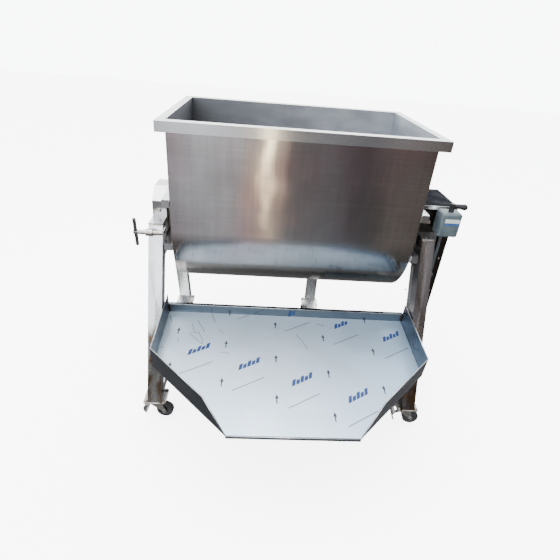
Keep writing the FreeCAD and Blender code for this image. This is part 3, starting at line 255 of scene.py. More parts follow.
def tub_material(name, grain):
    # belt-ground 304 stainless sheet: lines run along the tub, the light stretches into a tall streak.
    # real belt lines are 0.2 mm apart; they are drawn 5 mm wide, which the picture can just show.
    c = colours()
    material, shader, tone = brushed_stainless(name, grain, dents=0.7)
    rose = spread(material, (260, 300, 420), detail=2.0, low=0.42, high=0.68)
    outside = blend_colour(material, rose, blend_colour(material, tone, c.tub, c.tub_shade),
                           blend_colour(material, tone, c.tub_tint, c.tub_shade))
    # painted shade: round the bottom, where the sheet turns under, it is darker, and darker still towards the
    # right.
    where = add(material, "ShaderNodeSeparateXYZ", {0: add(material, "ShaderNodeTexCoord").outputs["Object"]})
    rolled = add(material, "ShaderNodeMapRange", {"Value": where.outputs[2], "From Min": 0.7, "From Max": 0.57},
                 interpolation_type="SMOOTHSTEP").outputs[0]
    right = ranged(material, where.outputs[0], 0.0, 1.0, -0.4, 0.1)
    painted_bottom_shade = blend_colour(material, right, darker(c.tub_shade, 0.8), darker(c.tub_shade, 0.24))
    outside = blend_colour(material, rolled, outside, painted_bottom_shade)
    # inside it is scoured in arcs, which leaves it paler and much duller; the left end is darker, which is
    # painted shade.
    scour = spread(material, (150, 150, 60), detail=4.0, low=0.35, high=0.7)
    painted_left_shade = ranged(material, where.outputs[0], 0.0, 1.0, 0.25, -0.46)
    clean = blend_colour(material, scour, darker(c.tub_inside, 0.72), c.tub_inside)
    inside = blend_colour(material, painted_left_shade, clean, darker(c.tub_inside, 0.28))
    inner = inner_faces(material, MACHINE + Vector((0, 83, 760)) * MM)
    link(material, blend_colour(material, inner, outside, inside), shader, "Base Color")
    dull = ranged(material, inner, 0.12, 0.5)
    link(material, sum_of(material, (dull, 1.0), (tone, 0.04)), shader, "Roughness")
    link(material, ranged(material, inner, 1.0, 0.2), shader, "Anisotropic")
    return material


def rim_material():
    # the same steel, ground finer and wiped clean: brighter, with fewer clouds.
    c = colours()
    material, shader, tone = brushed_stainless("fine_ground_stainless_rim", "X", (0.2, 0.05, 0.3))
    link(material, blend_colour(material, tone, c.rim, c.tub), shader, "Base Color")
    link(material, ranged(material, tone, 0.18, 0.25), shader, "Roughness")
    return material


def stand_material(name, base, shade, scaled_up_to=0.0):
    # square stainless tube, ground by hand after welding: smears along it, brown scale low on the legs.
    material, shader, tone = brushed_stainless(name, "Z", (0.3, 0.2, 0.4))
    where = add(material, "ShaderNodeTexCoord").outputs["Object"]
    height = add(material, "ShaderNodeSeparateXYZ", {0: where}).outputs[2]
    low = add(material, "ShaderNodeMapRange",
              {"Value": height, "From Min": scaled_up_to, "From Max": scaled_up_to - 0.06},
              interpolation_type="SMOOTHSTEP").outputs[0]
    scale = spread(material, (24, 24, 60), detail=5.0, low=0.42, high=0.62)
    clean = blend_colour(material, tone, base, shade)
    scaled = blend_colour(material, scale, darker(base, 0.32), darker(colours().heat, 0.8))
    link(material, blend_colour(material, low, clean, scaled), shader, "Base Color")
    link(material, ranged(material, tone, 0.18, 0.25), shader, "Roughness")
    return material


def tray_material():
    # cold-rolled sheet, bare on the tray's walls: dull and even.
    c = colours()
    material, shader = new_material("cold_rolled_tray_sheet", metallic=1.0)
    clouds = spread(material, (90, 90, 60), detail=4.0)
    link(material, blend_colour(material, clouds, c.tray, darker(c.tray, 0.75)), shader, "Base Color")
    link(material, ranged(material, clouds, 0.24, 0.34), shader, "Roughness")
    return material


def casing_material(name, base, roughness):
    # cold-rolled 2B stainless sheet, folded, not ground: soft and even with a few handling marks.
    material, shader = new_material(name, metallic=1.0, anisotropic=0.2)
    clouds = spread(material, (120, 120, 160), detail=4.0)
    marks = spread(material, (5, 60, 30), detail=2.0, low=0.55, high=0.8)
    tone = sum_of(material, (clouds, 0.5), (marks, 0.4))
    link(material, blend_colour(material, tone, base, darker(base, 0.72)), shader, "Base Color")
    link(material, ranged(material, tone, roughness, roughness + 0.12), shader, "Roughness")
    return material


def film_material():
    # polythene film on stainless: milky pale blue, soft gloss, shallow bubbles and wrinkles.
    material, shader = new_material("pale_polythene_film", metallic=0.72, ior=1.5, specular_ior_level=0.5)
    clouds = spread(material, (160, 160, 160), detail=3.0)
    streaks = spread(material, (90, 8, 40), detail=2.0, low=0.45, high=0.8)
    tone = sum_of(material, (clouds, 0.6), (streaks, 0.25))
    pale = colours().film
    deep = tuple(v * 0.84 for v in pale[:3]) + (1.0,)
    # painted shade: up the back wall, where it stands upright, the film is much darker.
    normal = add(material, "ShaderNodeTexCoord").outputs["Normal"]
    facing = add(material, "ShaderNodeSeparateXYZ", {0: normal})
    flat = ranged(material, facing.outputs[2], 0.0, 1.0, 0.3, 0.8)
    floor = blend_colour(material, tone, pale, deep)
    # towards the right it is darker and deeper blue.
    where = add(material, "ShaderNodeSeparateXYZ", {0: add(material, "ShaderNodeTexCoord").outputs["Object"]})
    bluer_to_right = ranged(material, where.outputs[0], 0.0, 1.0, 0.0, 0.46)
    floor = blend_colour(material, bluer_to_right, floor, linear("#9fb8cf"))
    link(material, blend_colour(material, flat, darker(pale, 0.17), floor), shader, "Base Color")
    link(material, ranged(material, tone, 0.34, 0.5), shader, "Roughness")
    bubbles = spread(material, (38, 38, 38), detail=4.0, rough=0.6)
    relief = add(material, "ShaderNodeBump", {"Height": bubbles, "Strength": 0.25, "Distance": 0.0006})
    link(material, relief.outputs[0], shader, "Normal")
    return material


def print_material(name, shade):
    # flexographic ink on film: flat, slightly broken where the film is rubbed.
    material, shader = new_material(name, roughness=0.5)
    worn = spread(material, (6, 6, 6), detail=3.0, low=0.62, high=0.95)
    link(material, blend_colour(material, worn, shade, colours().film), shader, "Base Color")
    return material


def plain_metal(name, base, shade, roughness, grit, bump):
    """Turned, plated or oiled steel: a fine grain and stains of the given millimetres."""
    material, shader = new_material(name, metallic=1.0)
    grain = spread(material, (grit, grit, grit), detail=3.0)
    stains = spread(material, (grit * 12, grit * 12, grit * 12), detail=3.0)
    tone = sum_of(material, (grain, 0.35), (stains, 0.6))
    link(material, blend_colour(material, tone, base, shade), shader, "Base Color")
    link(material, ranged(material, tone, roughness - 0.07, roughness + 0.15), shader, "Roughness")
    relief = add(material, "ShaderNodeBump", {"Height": grain, "Strength": bump, "Distance": 0.0002})
    link(material, relief.outputs[0], shader, "Normal")
    return material


def coated(name, base, roughness, orange_peel, depth, specular=0.5, coat=0.0):
    """Enamel, moulded plastic or rubber: an even colour, dust, and the texture of its coat or mould."""
    material, shader = new_material(name, ior=1.5, specular_ior_level=specular, coat_weight=coat,
                                    coat_roughness=0.2)
    skin = spread(material, (orange_peel,) * 3, detail=2.0)
    dust = spread(material, (60, 60, 45), detail=4.0, low=0.35, high=0.8)
    dusty = tuple(min(1.0, v * 1.25 + 0.02) for v in base[:3]) + (1.0,)
    link(material, blend_colour(material, dust, base, dusty), shader, "Base Color")
    link(material, ranged(material, dust, roughness, min(1.0, roughness + 0.15)), shader, "Roughness")
    relief = add(material, "ShaderNodeBump", {"Height": skin, "Strength": 0.3, "Distance": depth * MM})
    link(material, relief.outputs[0], shader, "Normal")
    return material


def dress(material, *names):
    """Gives CAD nodes their material."""
    for name in names:
        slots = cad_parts[name].data.materials
        slots.clear()
        slots.append(material)


def darker(base, share):
    return tuple(v * share for v in base[:3]) + (1.0,)


# Mesh pieces


def new_piece(name, mesh, material, body, smooth=True):
    """Turns a bmesh into an object that rides on a CAD body."""
    bmesh.ops.recalc_face_normals(mesh, faces=mesh.faces)
    data = bpy.data.meshes.new(name)
    mesh.to_mesh(data)
    mesh.free()
    for face in data.polygons:
        face.use_smooth = smooth
    data.materials.append(material)
    piece = bpy.data.objects.new(name, data)
    bpy.context.scene.collection.objects.link(piece)
    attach(piece, body)
    return piece


def axes_along(direction):
    """Two unit vectors square to a direction and to each other."""
    along = Vector(direction).normalized()
    start = Vector((0, 0, 1)) if abs(along.z) < 0.9 else Vector((1, 0, 0))
    side = along.cross(start).normalized()
    return side, along.cross(side).normalized()


def add_turned(mesh, start, direction, profile, sides=24):
    """A turned form: profile holds (distance along the direction, radius), closed at both ends."""
    along = Vector(direction).normalized()
    side, up = axes_along(along)
    rings = []
    for distance, radius in profile:
        centre = Vector(start) + along * distance
        rings.append([mesh.verts.new(centre + (side * math.cos(a) + up * math.sin(a)) * radius)
                      for a in (2 * math.pi * i / sides for i in range(sides))])
    for near, far in zip(rings, rings[1:]):
        for i in range(sides):
            mesh.faces.new((near[i], near[(i + 1) % sides], far[(i + 1) % sides], far[i]))
    mesh.faces.new(rings[0])
    mesh.faces.new(rings[-1])


def add_rod(mesh, start, end, radius):
    """A thin rod between two points, for a round edge that carries a painted highlight."""
    along = Vector(end) - Vector(start)
    add_turned(mesh, start, along, [(0, radius), (along.length, radius)], sides=10)


def add_hex_bolt(mesh, centre, direction, flats):
    """A washer and a hexagon head with a turned-down top, standing on a surface."""
    washer = flats * 0.14
    head = flats * 0.6
    add_turned(mesh, centre, direction,
               [(0, flats * 0.85), (washer * 0.8, flats * 0.85), (washer, flats * 0.8)])
    corner = flats / math.sqrt(3)
    add_turned(mesh, Vector(centre) + Vector(direction).normalized() * washer, direction,
               [(0, corner * 0.97), (head * 0.08, corner), (head * 0.85, corner), (head, corner * 0.84)],
               sides=6)


def add_pan_screw(mesh, centre, direction, head):
    """A low domed screw head."""
    add_turned(mesh, centre, direction, [(0, head / 2), (head * 0.12, head / 2), (head * 0.25, head * 0.4),
                                         (head * 0.32, head * 0.22), (head * 0.3, head * 0.1)], sides=20)


def add_bead(mesh, points, width, seed):
    """A weld bead along a line: overlapping ripples, 1.3 bead widths apart, a little uneven."""
    path = [Vector(p) for p in points]
    step = width / 4
    rings = []
    travelled = 0.0
    for start, end in zip(path, path[1:]):
        direction = (end - start).normalized()
        side, up = axes_along(direction)
        count = max(2, int((end - start).length / step))
        for i in range(count + 1):
            at = start + (end - start) * (i / count)
            ripple = abs(math.sin(math.pi * (travelled + (end - start).length * i / count) / (width * 0.8)))
            wander = noise.noise(at * 40 + Vector((seed, 0, 0)))
            radius = width / 2 * (0.78 + 0.18 * ripple + 0.12 * wander)
            if i in (0, count):
                radius *= 0.6
            rings.append([mesh.verts.new(at + (side * math.cos(a) + up * math.sin(a)) * radius)
                          for a in (2 * math.pi * k / 8 for k in range(8))])
        travelled += (end - start).length
    for near, far in zip(rings, rings[1:]):
        for i in range(8):
            mesh.faces.new((near[i], near[(i + 1) % 8], far[(i + 1) % 8], far[i]))
    mesh.faces.new(rings[0])
    mesh.faces.new(rings[-1])


# The tray's own coordinates: u to the right, v forward down the slope, w off the floor


TRAY_HALF = 469 * MM
TRAY_FRONT_HALF = 202 * MM
TRAY_SIDE = 291 * MM
TRAY_DEPTH = 551 * MM
TRAY_SHEET = 2 * MM
TRAY_SLOPE = math.radians(5.2)
TRAY_BACK = MACHINE + Vector((0, -181, 372)) * MM


def sheet_point(u, v, w):
    """A point of the tray's sheet, counted from the foot of its back wall's outside."""
    forward = Vector((0, -math.cos(TRAY_SLOPE), -math.sin(TRAY_SLOPE)))
    off = Vector((0, -math.sin(TRAY_SLOPE), math.cos(TRAY_SLOPE)))
    return TRAY_BACK + Vector((u, 0, 0)) + forward * v + off * w


def tray_point(u, v, w):
    """A point over the tray's floor. A negative v goes on up the back wall, as the printed film does."""
    if v < 0:
        v, w = w, w - v
    return sheet_point(u, v + TRAY_SHEET, w + TRAY_SHEET)


def film_height(u, v):
    """The film's wrinkles: soft waves with finer ones over them."""
    soft = noise.noise(Vector((u * 9, v * 14, 0.3))) * 0.5 + 0.5
    fine = noise.noise(Vector((u * 40, v * 31, 4.2))) * 0.5 + 0.5
    return sizes().film_lift + sizes().film_wave * (0.7 * soft + 0.3 * fine)


def tray_half(v, inset):
    """Half the inner width of the tray's floor at v."""
    if v <= TRAY_SIDE:
        return TRAY_HALF - inset
    share = (v - TRAY_SIDE) / (TRAY_DEPTH - TRAY_SIDE)
    return TRAY_HALF + (TRAY_FRONT_HALF - TRAY_HALF) * share - inset * 1.3


def add_strip(mesh, rows):
    """Joins rows of points into a sheet."""
    grid = [[mesh.verts.new(point) for point in row] for row in rows]
    for near, far in zip(grid, grid[1:]):
        for i in range(len(near) - 1):
            mesh.faces.new((near[i], near[i + 1], far[i + 1], far[i]))


class MIXER_OT_tub_finish(bpy.types.Operator):
    """Ground stainless on the tub, its rim and its bars"""
    bl_idname = "mixer.tub_finish"
    bl_label = "Tub finish"

    def execute(self, context):
        dress(tub_material("belt_ground_stainless_sheet", "X"), "trough_sheet")
        dress(tub_material("belt_ground_end_plate", "Y"), "left_end_plate", "right_end_plate")
        dress(rim_material(), "rim_frame")
        c = colours()
        dress(stand_material("hand_ground_stainless_tube", c.stand, c.stand_shade), "end_bars")
        return {"FINISHED"}


class MIXER_OT_stand_finish(bpy.types.Operator):
    """Ground stainless on the stand, mill finish on the casing and cover"""
    bl_idname = "mixer.stand_finish"
    bl_label = "Stand finish"

    def execute(self, context):
        stand = bpy.data.materials["hand_ground_stainless_tube"]
        dress(stand, "rear_left_leg", "top_plates", "left_side_rail",
              "right_side_rail", "base_tubes", "rest_post", "column_plate", "motor_base", "tray_bearers")
        c = colours()
        dress(stand_material("scaled_stainless_leg", c.stand, c.stand_shade, 0.4), "front_left_leg")
        # painted shade: the right leg takes a darker copy of the stand's steel, for the shade on the machine's
        # right side.
        dress(stand_material("dull_ground_stainless_leg", c.shaded_stand_copy, darker(c.shaded_stand_copy, 0.6), 0.3),
              "front_right_leg")
        dress(tray_material(), "discharge_tray")
        dress(casing_material("mill_finish_stainless_sheet", c.casing, 0.2), "drive_casing")
        dress(casing_material("wiped_mill_finish_cover", c.tub, 0.1), "left_bearing_cover")
        # the lid is the same sheet under dust and oil, which hide the metal: dark and dull.
        dress(coated("oily_dust_on_sheet", c.lid, 0.6, 4, 0.05, specular=0.0), "casing_lid")
        # moulded black rubber: dull, slightly grey with dust.
        dress(coated("moulded_buffer_rubber", c.rubber, 0.6, 3, 0.1), "rest_buffer")
        return {"FINISHED"}


class MIXER_OT_drive_finish(bpy.types.Operator):
    """Steel, castings and enamel of the drive and the agitator"""
    bl_idname = "mixer.drive_finish"
    bl_label = "Drive finish"

    def execute(self, context):
        c = colours()
        # turned and polished steel rod: bright, with dark smears of oil.
        turned = plain_metal("turned_bright_steel", c.turned, darker(c.turned, 0.55), 0.28, 4, 0.1)
        dress(turned, "left_trunnion", "right_trunnion", "shaft_seals", "drive_shaft", "driven_sprocket",
              "transfer_sprocket", "agitator_sprocket", "motor_sprocket", "agitator_shaft",
               "agitator_paddles",
              "lock_nut", "lock_screw")
        # the tee is the same steel, handled until it has gone brown.
        dress(plain_metal("handled_brown_steel", darker(c.turned, 0.4), darker(c.turned, 0.2), 0.36, 3, 0.2),
              "tee_handle")
        # roller chain steel under a film of oil: dark with a wet shine.
        dress(plain_metal("oiled_chain_steel", c.chain, darker(c.chain, 0.45), 0.3, 2, 0.2), "drive_chain",
              "transfer_chain")
        # sand-cast iron under paint: coarse skin.
        dress(coated("painted_sand_casting", c.casting, 0.45, 3, 0.4), "left_bearing", "right_bearing")
        # machine enamel on aluminium: semi-gloss with orange peel.
        dress(coated("machine_enamel", c.motor, 0.35, 4, 0.1, coat=0.3), "motor", "gearbox")
        dress(coated("moulded_nylon_gland", c.black, 0.4, 2, 0.1), "cable_gland")
        return {"FINISHED"}


class MIXER_OT_switch_finish(bpy.types.Operator):
    """Enamel, plastic and conduit of the switch"""
    bl_idname = "mixer.switch_finish"
    bl_label = "Switch finish"

    def execute(self, context):
        c = colours()
        # stove enamel on a die-cast box: satin, fine orange peel.
        dress(coated("stove_enamel_box", c.switch, 0.4, 3, 0.08, specular=0.25), "switch_box")
        # phenolic moulding of the lever: black, rubbed dull by hands.
        dress(coated("phenolic_lever", c.black, 0.45, 2, 0.05, specular=0.2), "switch_lever")
        # flexible PVC conduit: matt grey.
        dress(coated("pvc_conduit", c.conduit, 0.5, 3, 0.1), "switch_conduit")
        return {"FINISHED"}


class MIXER_OT_caster_finish(bpy.types.Operator):
    """Zinc, rubber and nylon of the casters"""
    bl_idname = "mixer.caster_finish"
    bl_label = "Caster finish"

    def execute(self, context):
        c = colours()
        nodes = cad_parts
        # zinc plate on pressed steel: pale, with darker spangle and stains.
        dress(plain_metal("bright_zinc_plate", c.zinc, darker(c.zinc, 0.5), 0.4, 5, 0.2),
              *[n for n in nodes if n.endswith("_fork") or n.endswith("_brake_pedal")], "caster_plates")
        # worn tyre rubber: matt, greyed by floor dust.
        dress(coated("worn_tyre_rubber", c.rubber, 0.7, 5, 0.3), *[n for n in nodes if n.endswith("_tyre")])
        # glass-filled nylon wheel centre: dark grey, dull.
        dress(coated("moulded_nylon_hub", c.hub, 0.5, 2, 0.1),
              *[n for n in nodes if n.endswith("_wheel_hub")])
        return {"FINISHED"}


class MIXER_OT_tray_film(bpy.types.Operator):
    """The protective film on the tray, with its generic printed marks"""
    bl_idname = "mixer.tray_film"
    bl_label = "Tray film"

    def execute(self, context):
        mesh = bmesh.new()
        inset = TRAY_SHEET + 0.6 * MM
        rows = []
        for v in [36 * MM * (i / 4 - 1) for i in range(4)]:
            rows.append([tray_point(TRAY_HALF * s / 30 * 0.99, v, 0.5 * MM) for s in range(-30, 31)])
        for i in range(41):
            v = 0.8 * MM + (TRAY_DEPTH - 5 * MM) * i / 40
            half = tray_half(v, inset)
            rows.append([tray_point(half * s / 30, v, film_height(half * s / 30, v)) for s in range(-30, 31)])
        add_strip(mesh, rows[:4])
        add_strip(mesh, rows[4:])
        film = film_material()
        new_piece("tray_film", mesh, film, "frame")
        self.print_marks()
        return {"FINISHED"}

    def print_marks(self):
        blue, dark = bmesh.new(), bmesh.new()
        for column in range(-3, 4):
            self.arrows(dark, column)
            for row in range(-1, 2):
                u = (41 + 182 * column) * MM
                v = (326 + 62 * column + 355 * row) * MM
                self.blocks(blue, u, v)
                self.fine_print(dark, u, v + 89 * MM)
        self.scratches(dark)
        new_piece("film_blocks", blue, print_material("blue_ink", colours().film_mark), "frame")
        new_piece("film_fine_print", dark, print_material("grey_ink", colours().film_dark), "frame")

    def patch(self, mesh, corners):
        """A printed patch, left out where it would run off the film."""
        low, high = -34 * MM, TRAY_DEPTH - 8 * MM
        for u, v in corners:
            if not low < v < high or abs(u) > tray_half(max(v, 0), 6 * MM) or -3 * MM < v < 2 * MM:
                return
        mesh.faces.new([mesh.verts.new(tray_point(u, v, film_height(u, v) + 0.25 * MM)) for u, v in corners])

    def arrows(self, mesh, column):
        u = (-48 + 182 * column) * MM
        for row in range(-4, 4):
            v = (233 + 62 * column + 177 * row) * MM
            self.patch(mesh, [(u - 2.4 * MM, v), (u + 2.4 * MM, v), (u + 2 * MM, v + 20 * MM),
                              (u - 2 * MM, v + 20 * MM)])
            self.patch(mesh, [(u - 6.5 * MM, v), (u, v - 18 * MM), (u + 6.5 * MM, v)])

    def slanted(self, mesh, u, v, start, end, low, high):
        """A patch in the print's own slanted axes, which climb to the right."""
        along = Vector((math.cos(math.radians(30)), -math.sin(math.radians(30))))
        across = Vector((0.12, -1)).normalized()
        corners = []
        for a, b in ((start, low), (end, low), (end, high), (start, high)):
            at = Vector((u, v)) + along * a + across * b
            corners.append((at.x, at.y))
        self.patch(mesh, corners)

    def blocks(self, mesh, u, v):
        """A row of five plain slanted blocks."""
        for i in range(5):
            start = (-42 + 17 * i) * MM
            self.slanted(mesh, u, v, start, start + 14 * MM, -12 * MM, (16 - 8 * (i % 2)) * MM)

    def fine_print(self, mesh, u, v):
        """A broken thin line where small print would be."""
        for i in range(18):
            start = (-60 + 6.8 * i) * MM
            self.slanted(mesh, u, v, start, start + 5 * MM, -2.2 * MM, 2.2 * MM)

    def scratches(self, mesh):
        """Thin dark scratches, mostly towards the back left, as (u, v) in millimetres."""
        lines = (((-301, -30), (-300, -4)), ((-299, 4), (-280, 59)), ((-348, 50), (-330, 84), (-314, 114)),
                 ((-367, 68), (-353, 117), (-337, 116), (-321, 145), (-314, 180)), ((-369, 124), (-317, 177)),
                 ((-459, 28), (-446, 63)), ((-410, 150), (-400, 173)), ((-245, 212), (-213, 219)),
                 ((31, 108), (52, 140), (71, 185)), ((-260, 96), (-242, 118)), ((118, 40), (150, 52)))
        for points in lines:
            for (u, v), (next_u, next_v) in zip(points, points[1:]):
                along = Vector((next_u - u, next_v - v)).normalized() * MM
                aside = Vector((-along.y, along.x)) * 1.5
                steps = max(1, int(math.hypot(next_u - u, next_v - v) / 12))
                for i in range(steps):
                    near = (Vector((u, v)) * MM).lerp(Vector((next_u, next_v)) * MM, i / steps)
                    far = (Vector((u, v)) * MM).lerp(Vector((next_u, next_v)) * MM, (i + 0.9) / steps)
                    self.patch(mesh, [tuple(near - aside), tuple(far - aside * 0.4), tuple(far + aside * 0.4),
                                      tuple(near + aside)])


class MIXER_OT_welds(bpy.types.Operator):
    """Weld beads at the bars, the leg tops and feet and the tray's corners"""
    bl_idname = "mixer.welds"
    bl_label = "Welds"

    def execute(self, context):
        c = colours()
        width = sizes().bead
        # TIG bead, brushed after welding: bright ripples, straw in the hollows.
        bright = plain_metal("brushed_weld_bead", c.bead, c.heat, 0.3, 2, 0.3)
        # unbrushed bead: brown scale.
        burnt = plain_metal("scaled_weld_bead", c.burnt, darker(c.burnt, 0.4), 0.5, 2, 0.5)
        self.beads("tub_welds", self.bar_lines(), width, bright, "tub", "tub_stainless")
        self.beads("stand_welds", self.stand_lines(), width, bright, "frame", "stand_stainless")
        corners = [[tray_point(side * (TRAY_HALF - 4 * MM), -v * MM, 3 * MM) for v in (2, 30)]
                   for side in (-1, 1)]
        self.beads("tray_welds", corners, width * 1.6, burnt, "frame", "tray_film")
        return {"FINISHED"}

    def beads(self, name, lines, width, material, body, slot):
        mesh = bmesh.new()
        for seed, line in enumerate(lines):
            add_bead(mesh, line, width, seed)
        new_piece(name, mesh, material, body)

    def bar_lines(self):
        """Where the end bars meet the end plates: up the front end and along the upper and lower faces."""
        left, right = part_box("left_end_plate")[0].x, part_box("right_end_plate")[1].x
        low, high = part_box("end_bars")
        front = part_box("trough_sheet")[0].y
        lines = []
        lower_back = MACHINE.y + 18 * MM
        for x in (left - 1 * MM, right + 1 * MM):
            for z, back in ((low.z, lower_back), (low.z + 28 * MM, lower_back), (high.z - 28 * MM, high.y),
                            (high.z, high.y)):
                lines.append([(x, front + 8 * MM, z), (x, back - 8 * MM, z)])
            for z in (low.z, high.z - 28 * MM):
                lines.append([(x, front, z + 2 * MM), (x, front, z + 26 * MM)])
        return lines

    def stand_lines(self):
        """Round the tops and the feet of the legs."""
        lines = []
        for name in ("front_left_leg", "front_right_leg", "rear_left_leg"):
            low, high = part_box(name)
            front = high.y - 53 * MM if name.startswith("front") else low.y
            lines.append([(low.x + 2 * MM, front, high.z), (high.x - 2 * MM, front, high.z)])
            foot = low.y if name.startswith("front") else high.y
            lines.append([(low.x + 2 * MM, foot, low.z + 1 * MM), (high.x - 2 * MM, foot, low.z + 1 * MM)])
        return lines


class MIXER_OT_fasteners(bpy.types.Operator):
    """Bolts of the casters and bearings, the lid's edges bright with a painted highlight, and the switch's
    plate
    """
    bl_idname = "mixer.fasteners"
    bl_label = "Fasteners"

    def execute(self, context):
        c = colours()
        # zinc-plated bolts: pale and slightly yellow.
        plated = plain_metal("zinc_plated_bolts", c.zinc, darker(c.heat, 1.2), 0.32, 2, 0.1)
        mesh = bmesh.new()
        flats = sizes().bolt
        for x, y in ((-498, -364.5), (498, -364.5), (-498, 330), (170, 357)):
            self.plate_nuts(mesh, x, y, flats * 0.75)
        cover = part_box("left_bearing_cover")
        for y, way in ((cover[0].y, -1), (cover[1].y, 1)):
            add_hex_bolt(mesh, ((cover[0].x + cover[1].x) / 2, y, cover[0].z + 22 * MM), (0, way, 0),
                         flats * 0.7)
        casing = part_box("drive_casing")
        for x, z in ((473, 797.6), (490.6, 780.6)):
            add_hex_bolt(mesh, (x * MM, casing[0].y, z * MM), (0, -1, 0), flats * 0.7)
        for z in (180, 330, 480, 630, 780):
            for x in (14, 113):
                add_pan_screw(mesh, (casing[0].x + x * MM, casing[0].y, z * MM), (0, -1, 0), sizes().screw)
        new_piece("bolts", mesh, plated, "frame")
        # painted highlight: round rods of bright steel along the sheet edges and folds.
        edge_highlight_metal = plain_metal("rubbed_sheet_edge", c.stand, c.stand_shade, 0.3, 2, 0.1)
        self.lid_edges(edge_highlight_metal)
        self.tray_edges(edge_highlight_metal)
        self.switch_plate()
        return {"FINISHED"}

    def plate_nuts(self, mesh, x, y, flats):
        """Four nuts on a caster's plate, at the corners round its swivel."""
        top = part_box("caster_plates")[1].z
        for across in (-34, 34):
            for along in (-30, 30):
                centre = MACHINE + Vector((x + across, y + along, 0)) * MM
                centre.z = top
                add_hex_bolt(mesh, centre, (0, 0, 1), flats)

    def lid_edges(self, edge_highlight_metal):
        """The edges and the fold of the lid's skirt, as bright rods: a painted highlight."""
        mesh = bmesh.new()
        low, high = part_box("casing_lid")
        radius = 2 * MM
        for z in (low.z + radius, (low.z + high.z) / 2, high.z - radius):
            add_rod(mesh, (low.x, low.y, z), (high.x, low.y, z), radius)
        side = high.x - radius
        add_rod(mesh, (side, low.y, high.z - radius * 0.9), (side, high.y, high.z - radius * 0.9), radius)
        new_piece("lid_edges", mesh, edge_highlight_metal, "frame")

    def tray_edges(self, edge_highlight_metal):
        """The upper edges of the tray's walls and its front fold, as bright rods that paint a highlight; points
        as (u, v, w) in millimetres.
        """
        mesh = bmesh.new()
        half, front_half = TRAY_HALF / MM - 1, TRAY_FRONT_HALF / MM
        bend = (half + (front_half - half) * 0.73, 481, 84.6)
        runs = [[(-half, 0.8, 37.6), (half, 0.8, 37.6)],
                [(-front_half, 551.6, 1.4), (front_half, 551.6, 1.4)]]
        for side in (-1, 1):
            runs.append([(side * u, v, w) for u, v, w in ((half, 1, 84.6), (half, 291, 84.6), bend,
                                                          (front_half, 551, 2.4))])
        for run in runs:
            for start, end in zip(run, run[1:]):
                add_rod(mesh, sheet_point(*(Vector(start) * MM)), sheet_point(*(Vector(end) * MM)), 1.2 * MM)
        new_piece("tray_edges", mesh, edge_highlight_metal, "frame")

    def switch_plate(self):
        """A plain pale plate with a blue band under it."""
        low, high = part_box("switch_box")
        for name, shade, x0, x1, z0, z1 in (("switch_plate", "plate", 0.19, 0.92, 0.62, 0.78),
                                            ("switch_plate_band", "plate_band", 0.19, 0.92, 0.53, 0.59)):
            mesh = bmesh.new()
            corners = [(low.x + (high.x - low.x) * a, low.z + (high.z - low.z) * b)
                       for a, b in ((x0, z0), (x1, z0), (x1, z1), (x0, z1))]
            near = [mesh.verts.new((x, low.y - 0.5 * MM, z)) for x, z in corners]
            far = [mesh.verts.new((x, low.y + 0.5 * MM, z)) for x, z in corners]
            mesh.faces.new(near)
            for i in range(4):
                mesh.faces.new((near[i], near[(i + 1) % 4], far[(i + 1) % 4], far[i]))
            # screen-printed aluminium foil: satin.
            printed = coated(name + "_foil", getattr(colours(), shade), 0.35, 3, 0.02)
            new_piece(name, mesh, printed, "frame", smooth=False)


